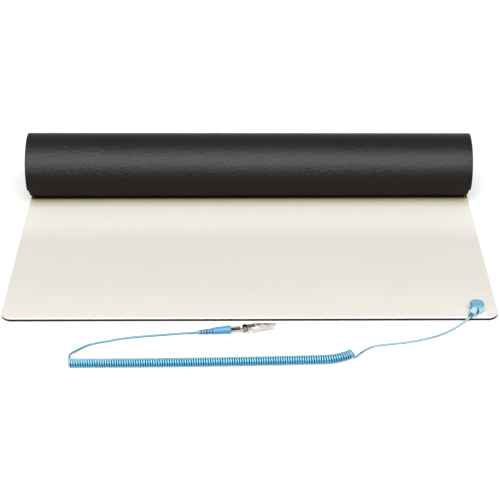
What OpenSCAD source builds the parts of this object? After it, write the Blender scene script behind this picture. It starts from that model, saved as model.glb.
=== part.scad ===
// Rolled bench mat with a coiled earth lead snapped on its front corner.
// Millimetres. X runs along the roll, the mat's front edge faces -Y, Z is up
// and zero is the surface that the mat lies on.

/* [Mat] */
// Width of the mat, along the roll
mat_width = 600; // [400:10:900]
// Flat length in front of the roll's axis
flat_len = 316; // [250:1:400]
// Thickness of the black conductive base
base_t = 2; // [1.2:0.1:3]
// Thickness of the cream dissipative top
top_t = 0.5; // [0.3:0.1:1]
// Radius of the mat's front corners
corner_r = 14; // [5:1:30]

/* [Roll] */
// Outer radius of the roll
roll_r = 44; // [38:1:60]
// Slack between one turn and the next
turn_gap = 0.3; // [0.2:0.1:0.8]
// Number of whole half turns in the roll
half_turns = 7; // [2:1:8]
// Arc of the last, unfinished half turn, in degrees
last_arc = 63; // [20:1:80]

/* [Snap stud] */
// Distance of the stud from the mat's right edge
stud_from_side = 25.7; // [20:0.1:60]
// Distance of the stud from the mat's front edge
stud_from_front = 15.8; // [12:0.1:20]
// Radius of the stud's bead
stud_r = 4.9; // [4.9:0.1:5]
// Radius of the stud's flange on the mat
stud_flange_r = 7; // [6:0.1:8]

/* [Snap head] */
// Radius of the round head
head_r = 8.7; // [8.6:0.1:9.5]
// Height of the head above the mat
head_h = 11.5; // [11.2:0.1:13]
// Radius of the resistor's barrel on the side of the head
barrel_r = 4.4; // [4:0.1:4.8]
// Compass direction in which the barrel points, in degrees
head_heading = 240; // [235:1:245]
// Angle at which the barrel dips, in degrees
head_pitch = 13; // [11:1:14]

/* [Cord] */
// Diameter of the cord
cord_d = 2.4; // [2.2:0.1:2.6]
// Outside diameter of the curly part
coil_d = 10.6; // [10:0.1:12]
// Number of curls
curls = 88; // [40:1:90]

/* [Plug] */
// Length of the plug's handle
handle_len = 21.5; // [18:0.5:30]
// Radius of the handle at the cord's end
handle_r0 = 3.75; // [3.5:0.05:4]
// Radius of the handle at the pin's end
handle_r1 = 4.7; // [4.4:0.1:4.8]
// Length of the ribbed strain relief
relief_len = 16.8; // [12:0.1:20]
// Number of ribs on the strain relief
relief_ribs = 5; // [3:1:7]
// Length of the pin in front of the handle
pin_len = 12.2; // [12:0.1:12.4]
// Number of leaves in the pin's spring sleeve
sleeve_leaves = 6; // [4:1:8]

/* [Clip] */
// Thickness of the clip's sheet metal
sheet_t = 0.6; // [0.5:0.1:0.7]
// Distance from the handle to the jaws' tips
tip_x = 53.5; // [50:0.5:58]
// Number of teeth along each edge
teeth = 12; // [6:1:14]
// Height of a tooth
tooth_h = 0.7; // [0.4:0.1:0.8]
// Radius of the round ears at the pivot
ear_r = 3.6; // [3.2:0.1:3.6]
// Diameter of the spring's wire
spring_d = 0.8; // [0.6:0.1:0.9]

/* [Hidden] */
$fn = 96;
eps = 0.01;
through = 20;

// Colours
cream = [0.92, 0.90, 0.85];
black = [0.16, 0.15, 0.15];
light_blue = [0.45, 0.72, 0.88];
cord_blue = [0.28, 0.60, 0.82];
nickel = [0.80, 0.79, 0.75];
brass = [0.80, 0.66, 0.35];
copper = [0.75, 0.45, 0.30];
spring_steel = [0.55, 0.54, 0.52];
resistor_tan = [0.80, 0.68, 0.50];

// Mat and roll
mat_t = base_t + top_t;
half_step = (mat_t + turn_gap) / 2;
front_y = -(flat_len + roll_r) / 2;
roll_y = front_y + flat_len;

// Stud: heights are above the mat's face
stud_x = mat_width / 2 - stud_from_side;
stud_y = front_y + stud_from_front;
stud_flange_t = 0.7;
stud_h = 3.6;
stud_bead_z = 2.6;
stud_neck_r = 4.3;
stud_hollow_r = 3.2;
eyelet_r = 2.4;
eyelet_wall = 0.5;
eyelet_flange_r = 6.5;
eyelet_recess = 0.5;
eyelet_hole = eyelet_r + 0.08;

// Head: heights are above the mat's face
shell_z0 = 0.75;
cap_z0 = 9.6;
cap_spigot = 1;
cap_round = 1.2;
cavity_r = 6.7;
cavity_z0 = 5.6;
socket_r = 6.4;
socket_z0 = 0.8;
socket_z1 = 4.4;
socket_top = 0.6;
ring_wire_r = 0.35;
ring_z = 1.6;
ring_r = stud_r + 0.05 + ring_wire_r;
rivet_r = 1.25;
rivet_head_r = 2.2;
rivet_head_t = 0.6;
terminal_t = 0.6;
barrel_z = 7.5;
barrel_end = 15.5;
barrel_bore_r = 1.5;
collar_r = 2.5;
collar_x0 = 13.5;
collar_end = 21;
collar_bore_x = 14.6;
resistor_x0 = 7.4;
resistor_len = 5.8;
lead_r = 0.3;
moat = 1.3;
moat_depth = 1.4;
notch_heading = -47;
notch_at = 7.3;
notch_len = 7;
notch_wide = 0.8;
notch_depth = 0.9;
barrel_round = 0.8;
terminal_r = 3.2;
terminal_tongue = 1.6;
crimp_x0 = 4.6;
crimp_len = 2;
crimp_r = 0.7;
splice_x = 14.1;
splice_r = 0.55;
barrel_out = [
    cos(head_heading) * cos(head_pitch), sin(head_heading) * cos(head_pitch), -sin(head_pitch)
];
collar_mouth = [stud_x, stud_y, mat_t + barrel_z] + collar_end * barrel_out;
collar_out = barrel_out;

// Cord
cord_r = cord_d / 2;
coil_r = (coil_d - cord_d) / 2;
coil_z = coil_d / 2;
coil_start = [-206, -274.4];
coil_long = 292;
coil_bend = 34;
coil_turn_long = 2.3;
coil_turn_bend = 35;
coil_phase = 90;
coil_sweep = 360 * curls + 90;
rings_per_curl = 8;
coil_sides = 6;
tail_sides = 8;

// The head's tail, from the collar to the coil's right end
head_tail = [
    [262.4, -184.3, 4.9], [258.9, -187.2, 4.0], [255, -190.3, 2.9],
    [250.6, -194.1, 1.9], [245.6, -198.6, 1.3], [240, -203.4, 1.25],
    [233.5, -208.4, 1.25], [226.5, -213, 1.25], [219, -217.2, 1.25],
    [211, -220.8, 1.25], [203, -223.8, 1.25], [195, -226.3, 1.25],
    [187, -228.4, 1.25], [179, -230.2, 1.25], [171, -231.7, 1.25],
    [163, -233.1, 1.25], [155, -234.5, 1.25], [147, -236.6, 1.25],
    [140, -240.3, 1.25], [134, -245.5, 1.25], [128.5, -251.3, 1.25],
    [124.3, -256.6, 1.25], [121.4, -259.6, 1.7]
];
// The plug's tail, from the coil's left end to the strain relief
plug_tail = [
    [-206.6, -266.5, 9.0], [-206.3, -260.5, 7.4], [-204.6, -254.5, 5.5],
    [-201.8, -248.7, 3.7], [-197.5, -242, 2.3], [-192.5, -236.3, 1.5],
    [-187, -232.2, 1.25], [-180.5, -229.4, 1.25], [-173, -227, 1.25],
    [-165, -224.6, 1.25], [-157, -222, 1.25], [-149, -219.6, 1.25],
    [-141, -217.9, 1.25], [-133, -216.5, 1.25], [-122, -215, 1.25],
    [-111, -213.4, 1.25], [-100, -211.9, 1.25], [-88, -210.3, 1.25],
    [-77, -209.1, 1.3], [-70, -209.2, 1.9], [-64.8, -209.6, 2.7]
];

// Plug: distances run along its axis from the cord's entry
plug_at = [-60, -209.5, 3.1];
plug_heading = 5;
plug_pitch = 2.8;
plug_len = relief_len + handle_len;
plug_out = [
    cos(plug_heading) * cos(plug_pitch), sin(plug_heading) * cos(plug_pitch), sin(plug_pitch)
];
handle_round = 1.4;
core_r = 0.6;
relief_slot = 1.1;
relief_web = 1.6;
rib_round = 0.3;
sleeve_end_r = 1.75;
sleeve_band = 1;
sleeve_slit = 0.5;
relief_bore_r = cord_r + 0.02;
relief_core_r = 1.75;
relief_r0 = 2.5;
relief_r1 = 3.4;
pin_r = 2;
pin_core_r = 1.25;
pin_nose = 1.3;
pin_shoulder = 1.3;
pin_tail = 16;
pin_cup = 5;
sleeve_r = 2.24;
sleeve_wall = 0.22;
sleeve_x0 = 1.4;
sleeve_x1 = 10.8;

// Clip: distances run along the plug's axis from the end of the handle
clip_gap = 0.4;
tube_r = 2.9;
tube_end = 10.6;
tube_seam = 0.8;
tube_seam_turn = 59;
neck_x = 9.8;
neck_half = 1.7;
pivot = [23.3, -2.3];
floor_z = -5.2;
floor_x0 = 18.5;
wall_x0 = 13;
neck_x1 = 11.4;
floor_x1 = 24.5;
tip_low = 0.2;
tip_high = 2.1;
roof_z = 3.7;
roof_x = 29;
saddle_z = 2.6;
saddle_x = [19, 24.5];
slot_half = 0.8;
slot_x = [31, 35];
slant_x = 42;
slant_len = 6;
slant_wide = 1;
slant_turn = -26;
throat_x = 27.6;
throat_z = 0.9;
mouth_tip_z = 1.15;
teeth_x = 33;
bite_gap = 0.12;
jaw_half = 3.75;
lever_half = 3.05;
tip_half = 1.9;
loop_x = 16.4;
loop_z = 0.7;
loop_r = 2.8;
upper_ear_r = 2.1;
clip_pin_r = 1;
clip_bore_lower = clip_pin_r + 0.02;
clip_bore_upper = clip_pin_r + 0.05;
pin_head_r = 3.4;
pin_head_t = 0.8;
pin_rim_t = 0.25;
spring_r = 1.7;
spring_pitch = 1.4;
spring_start = 265;
spring_sweep = 845;
spring_leg = 4.2;
spring_arm = 3.4;

// ---------------------------------------------------------------- helpers

function unit(v) = v / norm(v);

// Points of an arc about c, from angle a0 to a1, in n steps
function arc(c, r, a0, a1, n) =
    [for (i = [0:n]) c + r * [cos(a0 + (a1 - a0) * i / n), sin(a0 + (a1 - a0) * i / n)]];

// Direction of a path at its point i
function heading_at(path, i) =
    unit(path[min(i + 1, len(path) - 1)] - path[max(i - 1, 0)]);

// One ring of n points about centre c, square to direction t, from normal v
function ring(c, t, v, r, n) =
    let (u = unit(v - (v * t) * t), w = cross(t, u))
    [for (k = [0:n - 1]) c + r * (cos(360 * k / n) * u + sin(360 * k / n) * w)];

// Triangles that join m rings of n points into one closed tube
function tube_faces(m, n) = concat(
    [for (i = [0:m - 2]) for (k = [0:n - 1]) [i * n + k, (i + 1) * n + k, i * n + (k + 1) % n]],
    [for (i = [0:m - 2]) for (k = [0:n - 1])
        [i * n + (k + 1) % n, (i + 1) * n + k, (i + 1) * n + (k + 1) % n]],
    [for (k = [1:n - 2]) [0, k, k + 1]],
    [for (k = [1:n - 2]) [(m - 1) * n, (m - 1) * n + k + 1, (m - 1) * n + k]]
);

// A closed tube through the points of path, with a normal for each point
module tube(path, normals, directions, r, n) {
    rings = [for (i = [0:len(path) - 1]) ring(path[i], directions[i], normals[i], r, n)];
    polyhedron([for (one = rings) for (p = one) p], tube_faces(len(path), n));
}

// A cylinder along X from x0 to x1
module rod_x(r, x0, x1) {
    translate([x0, 0, 0])
        rotate([0, 90, 0])
            cylinder(r = r, h = x1 - x0);
}

// A turned solid along X, from points [radius, x]
module turned_x(points) {
    rotate([0, 90, 0])
        rotate_extrude()
            polygon(points);
}

// A plate across the clip, from a side outline of points [x, z]
module side_plate(points, half) {
    rotate([90, 0, 0])
        linear_extrude(height = 2 * half, center = true)
            polygon(points);
}

// A post through the clip's height, from a half plan of points [x, half width]
module plan_post(points) {
    mirrored = [for (i = [len(points) - 1:-1:0]) [points[i][0], -points[i][1]]];
    translate([0, 0, -through / 2])
        linear_extrude(height = through)
            polygon(concat(points, mirrored));
}

// ---------------------------------------------------------------- places

module on_mat() {
    translate([stud_x, stud_y, mat_t])
        children();
}

module on_head() {
    on_mat()
        rotate([0, 0, head_heading])
            children();
}

module on_barrel() {
    on_head()
        translate([0, 0, barrel_z])
            rotate([0, head_pitch, 0])
                children();
}

module on_plug() {
    translate(plug_at)
        rotate([0, -plug_pitch, plug_heading])
            children();
}

module on_clip() {
    on_plug()
        translate([plug_len, 0, 0])
            children();
}

// ---------------------------------------------------------------- mat

// Section of one half turn, between depths d0 and d1 below its outer face
module half_turn(k, d0, d1) {
    outer = roll_r - k * half_step;
    side = k % 2 == 0 ? 0 : -2 * roll_r;
    translate([0, roll_r + (k % 2) * half_step])
        intersection() {
            difference() {
                circle(r = outer - d0);
                circle(r = outer - d1);
            }
            translate([side, -2 * roll_r])
                square([2 * roll_r, 4 * roll_r]);
        }
}

// Section of the last part of a turn, which starts at the roll's top
module last_turn(d0, d1) {
    outer = roll_r - half_turns * half_step;
    reach = 2 * roll_r;
    translate([0, roll_r + (half_turns % 2) * half_step])
        intersection() {
            difference() {
                circle(r = outer - d0);
                circle(r = outer - d1);
            }
            polygon([[0, 0], [0, reach], [-reach, reach], [-reach * sin(last_arc), reach * cos(last_arc)]]);
        }
}

// The rolled part of a layer, along X
module rolled(d0, d1) {
    translate([-mat_width / 2, roll_y, 0])
        rotate([90, 0, 90])
            linear_extrude(height = mat_width)
                union() {
                    for (k = [0:half_turns - 1]) {
                        half_turn(k, d0, d1);
                    }
                    last_turn(d0, d1);
                }
}

// The flat part of a layer, with its rounded front corners
module flat_sheet(z0, z1) {
    translate([0, front_y, z0])
        linear_extrude(height = z1 - z0)
            union() {
                translate([-mat_width / 2, corner_r])
                    square([mat_width, flat_len - corner_r]);
                translate([-mat_width / 2 + corner_r, 0])
                    square([mat_width - 2 * corner_r, 2 * corner_r]);
                for (side = [-1, 1]) {
                    translate([side * (mat_width / 2 - corner_r), corner_r])
                        circle(r = corner_r);
                }
            }
}

module mat_base_layer() {
    color(black)
        difference() {
            union() {
                flat_sheet(0, base_t);
                rolled(0, base_t);
            }
            translate([stud_x, stud_y, -eps])
                cylinder(r = eyelet_hole, h = mat_t);
            translate([stud_x, stud_y, -eps])
                cylinder(r = eyelet_flange_r + 0.1, h = eyelet_recess + eps);
        }
}

module mat_top_layer() {
    color(cream)
        difference() {
            union() {
                flat_sheet(base_t, mat_t);
                rolled(base_t, mat_t);
            }
            translate([stud_x, stud_y, base_t - eps])
                cylinder(r = eyelet_hole, h = mat_t);
        }
}

// ---------------------------------------------------------------- stud

// The snap's male half, turned from one profile with a bead and a hollow
module mat_stud() {
    bead = arc([stud_neck_r, stud_bead_z], stud_r - stud_neck_r, -60, 80, 7);
    color(nickel)
        on_mat()
            rotate_extrude()
                polygon(concat(
                    [[eyelet_r + 0.05, 0], [stud_flange_r - 0.2, 0], [stud_flange_r, 0.2]],
                    [[stud_flange_r - 0.1, 0.5], [stud_flange_r - 0.8, stud_flange_t]],
                    [[stud_neck_r + 0.4, stud_flange_t], [stud_neck_r, 1.1]],
                    bead,
                    [[stud_neck_r - 0.2, stud_h], [stud_hollow_r, stud_h - 0.1]],
                    [[stud_hollow_r, stud_flange_t], [eyelet_r + 0.05, stud_flange_t]]
                ));
}

// The eyelet that clinches the stud from the mat's underside
module stud_eyelet() {
    z0 = 0.05 - mat_t;
    z1 = eyelet_recess - mat_t;
    bore = eyelet_r - eyelet_wall;
    color(nickel)
        on_mat()
            rotate_extrude()
                polygon([
                    [bore, z0], [eyelet_flange_r - 0.15, z0], [eyelet_flange_r, z0 + 0.15],
                    [eyelet_flange_r, z1 - 0.02], [eyelet_r, z1 - 0.02],
                    [eyelet_r, stud_flange_t + 0.02], [eyelet_r + 0.6, stud_flange_t + 0.02],
                    [eyelet_r + 0.6, stud_flange_t + 0.3], [eyelet_r, stud_flange_t + 0.5],
                    [bore, stud_flange_t + 0.4]
                ]);
}

// ---------------------------------------------------------------- head

// The snap's female half, a pressed cup with a groove for its spring ring
module snap_socket() {
    groove_r = ring_r + ring_wire_r + 0.05;
    groove_z = ring_z - ring_wire_r - 0.05;
    groove_top = ring_z + ring_wire_r + 0.05;
    mouth_r = stud_r + 0.2;
    color(nickel)
        on_head()
            rotate_extrude()
                polygon([
                    [mouth_r, socket_z0 + 0.1], [mouth_r + 0.1, socket_z0],
                    [socket_r - 0.2, socket_z0], [socket_r, socket_z0 + 0.2],
                    [socket_r, socket_z1 - 0.4], [socket_r - 0.4, socket_z1],
                    [rivet_r, socket_z1], [rivet_r, socket_z1 - socket_top],
                    [stud_r - 0.2, socket_z1 - socket_top], [stud_r + 0.1, socket_z1 - socket_top - 0.4],
                    [stud_r + 0.1, groove_top], [groove_r, groove_top],
                    [groove_r, groove_z], [mouth_r, groove_z]
                ]);
}

// The split spring ring that grips the stud's bead
module snap_ring() {
    color(spring_steel)
        on_head()
            translate([0, 0, ring_z])
                rotate([0, 0, 15])
                    rotate_extrude(angle = 330)
                        translate([ring_r, 0])
                            circle(r = ring_wire_r, $fn = 24);
}

// The rivet that holds the socket, the shell's floor and the terminal together
module socket_rivet() {
    low = socket_z1 - socket_top - rivet_head_t;
    high = cavity_z0 + terminal_t;
    color(nickel)
        on_head()
            rotate_extrude()
                polygon([
                    [0, low], [rivet_head_r - 0.3, low], [rivet_head_r, low + 0.2],
                    [rivet_head_r, low + rivet_head_t], [rivet_r, low + rivet_head_t],
                    [rivet_r, high], [rivet_head_r - 0.3, high],
                    [rivet_head_r - 0.5, high + 0.4], [0, high + 0.6]
                ]);
}

// The round cup of the head, with a moat where the barrel leaves it
module head_cup() {
    difference() {
        on_head()
            rotate_extrude()
                polygon(concat(
                    [[0, shell_z0]],
                    arc([head_r - 0.4, shell_z0 + 0.4], 0.4, -90, 0, 4),
                    [[head_r, cap_z0], [0, cap_z0]]
                ));
        barrel_moat();
    }
}

// Straight walls under the barrel's axis, a distance half from it
module barrel_walls(half, x0, x1) {
    on_barrel()
        translate([x0, -half, -head_h])
            cube([x1 - x0, 2 * half, head_h]);
}

// The arched groove that the barrel stands in, cut into the cup's wall
module barrel_moat() {
    difference() {
        union() {
            on_barrel()
                rod_x(barrel_r + moat, 1, barrel_end);
            barrel_walls(barrel_r + moat, 1, barrel_end);
        }
        on_head()
            translate([0, 0, -through / 2])
                cylinder(r = head_r - moat_depth, h = 2 * through);
    }
}

// The resistor's arched barrel, cut level under the cap and above the mat
module head_barrel() {
    difference() {
        union() {
            on_barrel()
                turned_x(concat(
                    [[0, 1], [barrel_r, 1]],
                    arc([barrel_r - barrel_round, barrel_end - barrel_round], barrel_round, 0, 90, 5),
                    [[0, barrel_end]]
                ));
            barrel_walls(barrel_r, 1, barrel_end - barrel_round - 0.05);
        }
        on_head()
            translate([0, 0, cap_z0])
                cylinder(r = head_r + 0.03, h = through);
        on_head()
            translate([-through, -through, shell_z0 - through])
                cube([2 * through, 2 * through, through]);
    }
}

// The moulded body, hollow for the socket, the terminal and the resistor
module head_shell() {
    color(light_blue)
        difference() {
            union() {
                head_cup();
                head_barrel();
            }
            on_head()
                translate([0, 0, shell_z0 - 1])
                    cylinder(r = socket_r + 0.03, h = socket_z1 - shell_z0 + 1);
            on_head()
                cylinder(r = rivet_r + 0.02, h = through);
            on_head()
                translate([0, 0, cavity_z0])
                    cylinder(r = cavity_r, h = through);
            on_barrel()
                rod_x(barrel_bore_r, cavity_r - 2, barrel_end - 1);
            on_barrel()
                rod_x(collar_r + 0.02, collar_x0, barrel_end + 1);
        }
}

// The cap, with a spigot that plugs the cup and a notch to prise it by
module head_cap() {
    color(light_blue)
        difference() {
            on_head()
                rotate_extrude()
                    polygon(concat(
                        [[0, cap_z0 - cap_spigot], [cavity_r - 0.05, cap_z0 - cap_spigot]],
                        [[cavity_r - 0.05, cap_z0], [head_r, cap_z0]],
                        arc([head_r - cap_round, head_h - cap_round], cap_round, 0, 90, 6),
                        [[0, head_h]]
                    ));
            on_head()
                rotate([0, 0, notch_heading])
                    translate([notch_at, -notch_len / 2, head_h - notch_depth])
                        cube([notch_wide, notch_len, through]);
        }
}

// The ring terminal under the rivet's head, with its crimp
module head_terminal() {
    color(brass)
        difference() {
            union() {
                on_head()
                    translate([0, 0, cavity_z0])
                        cylinder(r = terminal_r, h = terminal_t);
                on_head()
                    translate([0, -terminal_tongue / 2, cavity_z0])
                        cube([crimp_x0 + 0.4, terminal_tongue, terminal_t]);
                on_barrel()
                    rod_x(crimp_r, crimp_x0, crimp_x0 + crimp_len);
            }
            on_head()
                cylinder(r = rivet_r + 0.02, h = through);
            on_barrel()
                rod_x(lead_r + 0.02, crimp_x0 + 0.5, crimp_x0 + crimp_len + 1);
        }
}

// The one megohm resistor, turned with a bulge at each end
module series_resistor() {
    mid = resistor_len / 2;
    color(resistor_tan)
        on_barrel()
            translate([resistor_x0, 0, 0])
                turned_x([
                    [0, 0], [0.8, 0], [1.15, 0.4], [1.15, 1.2], [0.95, 1.7], [0.95, mid],
                    [0.95, resistor_len - 1.7], [1.15, resistor_len - 1.2],
                    [1.15, resistor_len - 0.4], [0.8, resistor_len], [0, resistor_len]
                ]);
}

// The resistor's two wire ends
module resistor_leads() {
    color(nickel)
        on_barrel()
            union() {
                rod_x(lead_r, crimp_x0 + 0.6, resistor_x0);
                rod_x(lead_r, resistor_x0 + resistor_len, splice_x);
            }
}

// The end of the cord inside the collar, stripped where it joins the lead
module head_conductor() {
    color(copper)
        on_barrel()
            union() {
                difference() {
                    rod_x(splice_r, splice_x - 0.8, collar_bore_x);
                    rod_x(lead_r, splice_x - 1, splice_x);
                }
                rod_x(cord_r, collar_bore_x, collar_end);
            }
}

// The soft collar that guides the cord out of the barrel
module head_strain_relief() {
    color(cord_blue)
        on_barrel()
            turned_x(concat(
                [[splice_r + 0.02, collar_x0], [collar_r, collar_x0]],
                [[collar_r, barrel_end + 0.4], [collar_r - 0.25, barrel_end + 0.8]],
                [[collar_r - 0.25, barrel_end + 1.4], [collar_r, barrel_end + 1.8]],
                arc([collar_r - 0.6, collar_end - 0.6], 0.6, 0, 90, 4),
                [[cord_r + 0.02, collar_end], [cord_r + 0.02, collar_bore_x]],
                [[splice_r + 0.02, collar_bore_x]]
            ));
}

// ---------------------------------------------------------------- cord

// Compass heading of the coil's axis at distance s along it
function coil_heading(s) = s < coil_long
    ? coil_turn_long * s / coil_long
    : coil_turn_long + coil_turn_bend * (s - coil_long) / coil_bend;

// Point of an arc that starts along X, after distance s, turning a in all
function bend(s, a) = let (r = s / (a * PI / 180)) [r * sin(a), r * (1 - cos(a))];

// Centre of the coil at distance s along its axis: a slow bend, then a tight one
function coil_centre(s) = s < coil_long
    ? coil_start + (s <= 0 ? [s, 0] : bend(s, coil_heading(s)))
    : let (
        first = bend(coil_long, coil_turn_long),
        turned = coil_heading(s) - coil_turn_long,
        step = turned <= 0 ? [s - coil_long, 0] : bend(s - coil_long, turned)
    )
    coil_start + first + [
        cos(coil_turn_long) * step[0] - sin(coil_turn_long) * step[1],
        sin(coil_turn_long) * step[0] + cos(coil_turn_long) * step[1]
    ];

// Outward direction of the curl at angle a, where 0 is its far side and 90 its top
function curl_out(s, a) =
    let (h = coil_heading(s)) [-sin(h) * cos(a), cos(h) * cos(a), sin(a)];

function curl_angle(s) = coil_phase + coil_sweep * s / coil_len;

function curl_point(s) =
    let (c = coil_centre(s)) [c[0], c[1], coil_z] + coil_r * curl_out(s, curl_angle(s));

function curl_heading(s) = unit(curl_point(s + 0.02) - curl_point(s - 0.02));

coil_len = coil_long + coil_bend;
coil_rings = round(coil_sweep / 360 * rings_per_curl);
coil_at = [for (i = [0:coil_rings]) coil_len * i / coil_rings];
coil_first = curl_point(0) - cord_d * curl_heading(0);
coil_last = curl_point(coil_len) + cord_d * curl_heading(coil_len);
coil_path = concat([coil_first], [for (s = coil_at) curl_point(s)], [coil_last]);
coil_outs = concat(
    [curl_out(0, curl_angle(0))],
    [for (s = coil_at) curl_out(s, curl_angle(s))],
    [curl_out(coil_len, curl_angle(coil_len))]
);
coil_headings = concat(
    [curl_heading(0)],
    [for (s = coil_at) curl_heading(s)],
    [curl_heading(coil_len)]
);

// Least gap between a wound tube and its own next turns, from its points
function least_gap(path, per_turn, d) = min([
    for (i = [0:len(path) - 1])
        for (j = [i + ceil(per_turn / 2):1:min(i + 2 * per_turn, len(path) - 1)])
            norm(path[i] - path[j]) - d
]);

module cord_coil() {
    echo(coil_gap = least_gap(coil_path, rings_per_curl, cord_d));
    color(cord_blue)
        tube(coil_path, coil_outs, coil_headings, cord_r, coil_sides);
}

// A plain stretch of cord whose first and last rings are square to what they meet
module tail(path, first, last) {
    n = len(path) - 1;
    headings = [for (i = [0:n]) i == 0 ? first : i == n ? last : heading_at(path, i)];
    across = [for (i = [0:n]) [1, -1, 0]];
    tube(path, across, headings, cord_r, tail_sides);
}

module cord_tail_head() {
    color(cord_blue)
        tail(concat([collar_mouth], head_tail, [coil_last]), collar_out, -curl_heading(coil_len));
}

module cord_tail_plug() {
    color(cord_blue)
        tail(concat([coil_first], plug_tail, [plug_at]), -curl_heading(0), plug_out);
}

// ---------------------------------------------------------------- plug

// The ribbed strain relief: rings that grow towards the handle
module plug_strain_relief() {
    pitch = relief_len / relief_ribs;
    rib = pitch - relief_slot;
    growth = (relief_r1 - relief_r0) / (relief_ribs - 1);
    color(light_blue)
        on_plug()
            difference() {
                union() {
                    rod_x(relief_core_r, 0, relief_len);
                    for (i = [0:relief_ribs - 1]) {
                        r = relief_r0 + growth * i;
                        translate([i * pitch, 0, 0])
                            turned_x([
                                [0, 0], [r - rib_round, 0], [r, rib_round],
                                [r, rib - rib_round], [r - rib_round, rib], [0, rib]
                            ]);
                        translate([i * pitch + rib - eps, 0, 0])
                            rotate([90 * (i % 2), 0, 0])
                                translate([0, -relief_web / 2, -r + rib_round])
                                    cube([
                                        relief_slot + (i < relief_ribs - 1 ? 2 : 1) * eps,
                                        relief_web, 2 * (r - rib_round)
                                    ]);
                    }
                }
                rod_x(relief_bore_r, -1, relief_len + 1);
            }
}

// The tapered handle, with a bead at its mouth and a seat for the pin
module plug_handle() {
    color(light_blue)
        on_plug()
            turned_x(concat(
                [[relief_bore_r, relief_len], [handle_r0 - 0.5, relief_len]],
                arc([handle_r0 - 0.5, relief_len + 0.5], 0.5, -90, 0, 4),
                arc([handle_r1 - handle_round, plug_len - handle_round], handle_round, 0, 90, 6),
                [[pin_r + 0.02, plug_len], [pin_r + 0.02, plug_len - pin_tail - 0.2]],
                [[relief_bore_r, plug_len - pin_tail - 0.2]]
            ));
}

// The end of the cord in the plug, stripped where it enters the solder cup
module plug_conductor() {
    color(copper)
        on_plug()
            union() {
                rod_x(cord_r, 0, plug_len - pin_tail - 0.4);
                rod_x(core_r, plug_len - pin_tail - 0.4, plug_len - pin_tail + pin_cup - 0.5);
            }
}

// The four millimetre pin, turned with a cup, a shoulder, a waist and a nose
module plug_pin() {
    nose_x = pin_len - pin_nose;
    color(nickel)
        on_plug()
            translate([plug_len, 0, 0])
                turned_x(concat(
                    [[core_r + 0.02, -pin_tail + pin_cup], [core_r + 0.02, -pin_tail]],
                    [[pin_r, -pin_tail], [pin_r, pin_shoulder], [pin_core_r, pin_shoulder]],
                    [[pin_core_r, nose_x]],
                    arc([pin_r - pin_nose, nose_x], pin_nose, 0, 90, 5),
                    [[0, pin_len], [0, -pin_tail + pin_cup]]
                ));
}

// The spring sleeve: a bowed tube, slit into leaves, that turns on the waist
module plug_sleeve() {
    span = sleeve_x1 - sleeve_x0;
    steps = 10;
    bow = [for (i = [0:steps]) sin(180 * i / steps)];
    outer = [for (i = [0:steps])
        [sleeve_end_r + (sleeve_r - sleeve_end_r) * bow[i], sleeve_x0 + span * i / steps]];
    inner = [for (i = [steps:-1:0])
        [max(pin_core_r + 0.07, outer[i][0] - sleeve_wall), outer[i][1]]];
    color(spring_steel)
        on_plug()
            translate([plug_len, 0, 0])
                difference() {
                    turned_x(concat(outer, inner));
                    for (i = [0:sleeve_leaves - 1]) {
                        rotate([360 * (i + 0.5) / sleeve_leaves, 0, 0])
                            translate([sleeve_x0 + sleeve_band, -sleeve_slit / 2, pin_core_r / 2])
                                cube([span - 2 * sleeve_band, sleeve_slit, 2 * sleeve_r]);
                    }
                }
}

// ---------------------------------------------------------------- clip

// Height of the line along which the jaws meet
function mouth(x) = throat_z + (mouth_tip_z - throat_z) * (x - throat_x) / (tip_x - throat_x);

// The toothed edge, from the tips back to the throat
bite = [for (i = [2 * teeth:-1:0])
    let (x = teeth_x + (tip_x - teeth_x) * i / (2 * teeth))
    [x, mouth(x) + (i % 2 == 0 ? -0.5 : 0.5) * tooth_h]];

// A pair of round ears, between half widths h0 and h1
module ears(r, h0, h1) {
    translate([pivot[0], 0, pivot[1]])
        rotate([90, 0, 0])
            for (side = [-1, 1]) {
                translate([0, 0, side < 0 ? -h1 : h0])
                    cylinder(r = r, h = h1 - h0);
            }
}

// A rod across the clip on the pivot's axis
module pivot_rod(r, half) {
    translate([pivot[0], half, pivot[1]])
        rotate([90, 0, 0])
            cylinder(r = r, h = 2 * half);
}

// The fixed jaw's channel, from the tube's end to the tip
module lower_channel() {
    inner_half = jaw_half - sheet_t;
    inner_tip = tip_half - sheet_t;
    back = [[neck_x, -tube_r + 0.05], [floor_x0, floor_z], [floor_x1, floor_z], [tip_x, tip_low]];
    rim = [
        [throat_x, throat_z], [24, 1.2], [20.4, -0.4], [18.6, -3.1],
        [wall_x0, -2.3], [neck_x + 1.1, -1.5]
    ];
    hollow = [
        [neck_x1, -through], [floor_x0, -through],
        [floor_x0, floor_z + sheet_t], [floor_x1, floor_z + sheet_t],
        [tip_x, tip_low + sheet_t], [tip_x, through], [neck_x - 1, through],
        [neck_x - 1, -2.4], [neck_x1, -2.4]
    ];
    difference() {
        intersection() {
            side_plate(concat(back, bite, rim), jaw_half);
            plan_post([
                [neck_x, neck_half], [wall_x0 - 0.2, jaw_half], [27, jaw_half], [tip_x, tip_half]
            ]);
        }
        intersection() {
            side_plate(hollow, jaw_half);
            plan_post([
                [neck_x - 1, 0.3], [wall_x0, inner_half], [27, inner_half],
                [tip_x - sheet_t, inner_tip]
            ]);
        }
    }
}

// The fixed jaw: a toothed channel with two round ears, and the seamed tube
module clip_lower_jaw() {
    color(nickel)
        on_clip()
            difference() {
                union() {
                    rod_x(tube_r, clip_gap, tube_end);
                    lower_channel();
                    ears(ear_r, jaw_half - sheet_t, jaw_half);
                }
                rod_x(tube_r - sheet_t, -1, wall_x0);
                rotate([tube_seam_turn, 0, 0])
                    translate([-1, -tube_seam / 2, 0])
                        cube([tube_end + 2, tube_seam, 2 * tube_r]);
                pivot_rod(clip_bore_lower, jaw_half + 1);
            }
}

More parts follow.
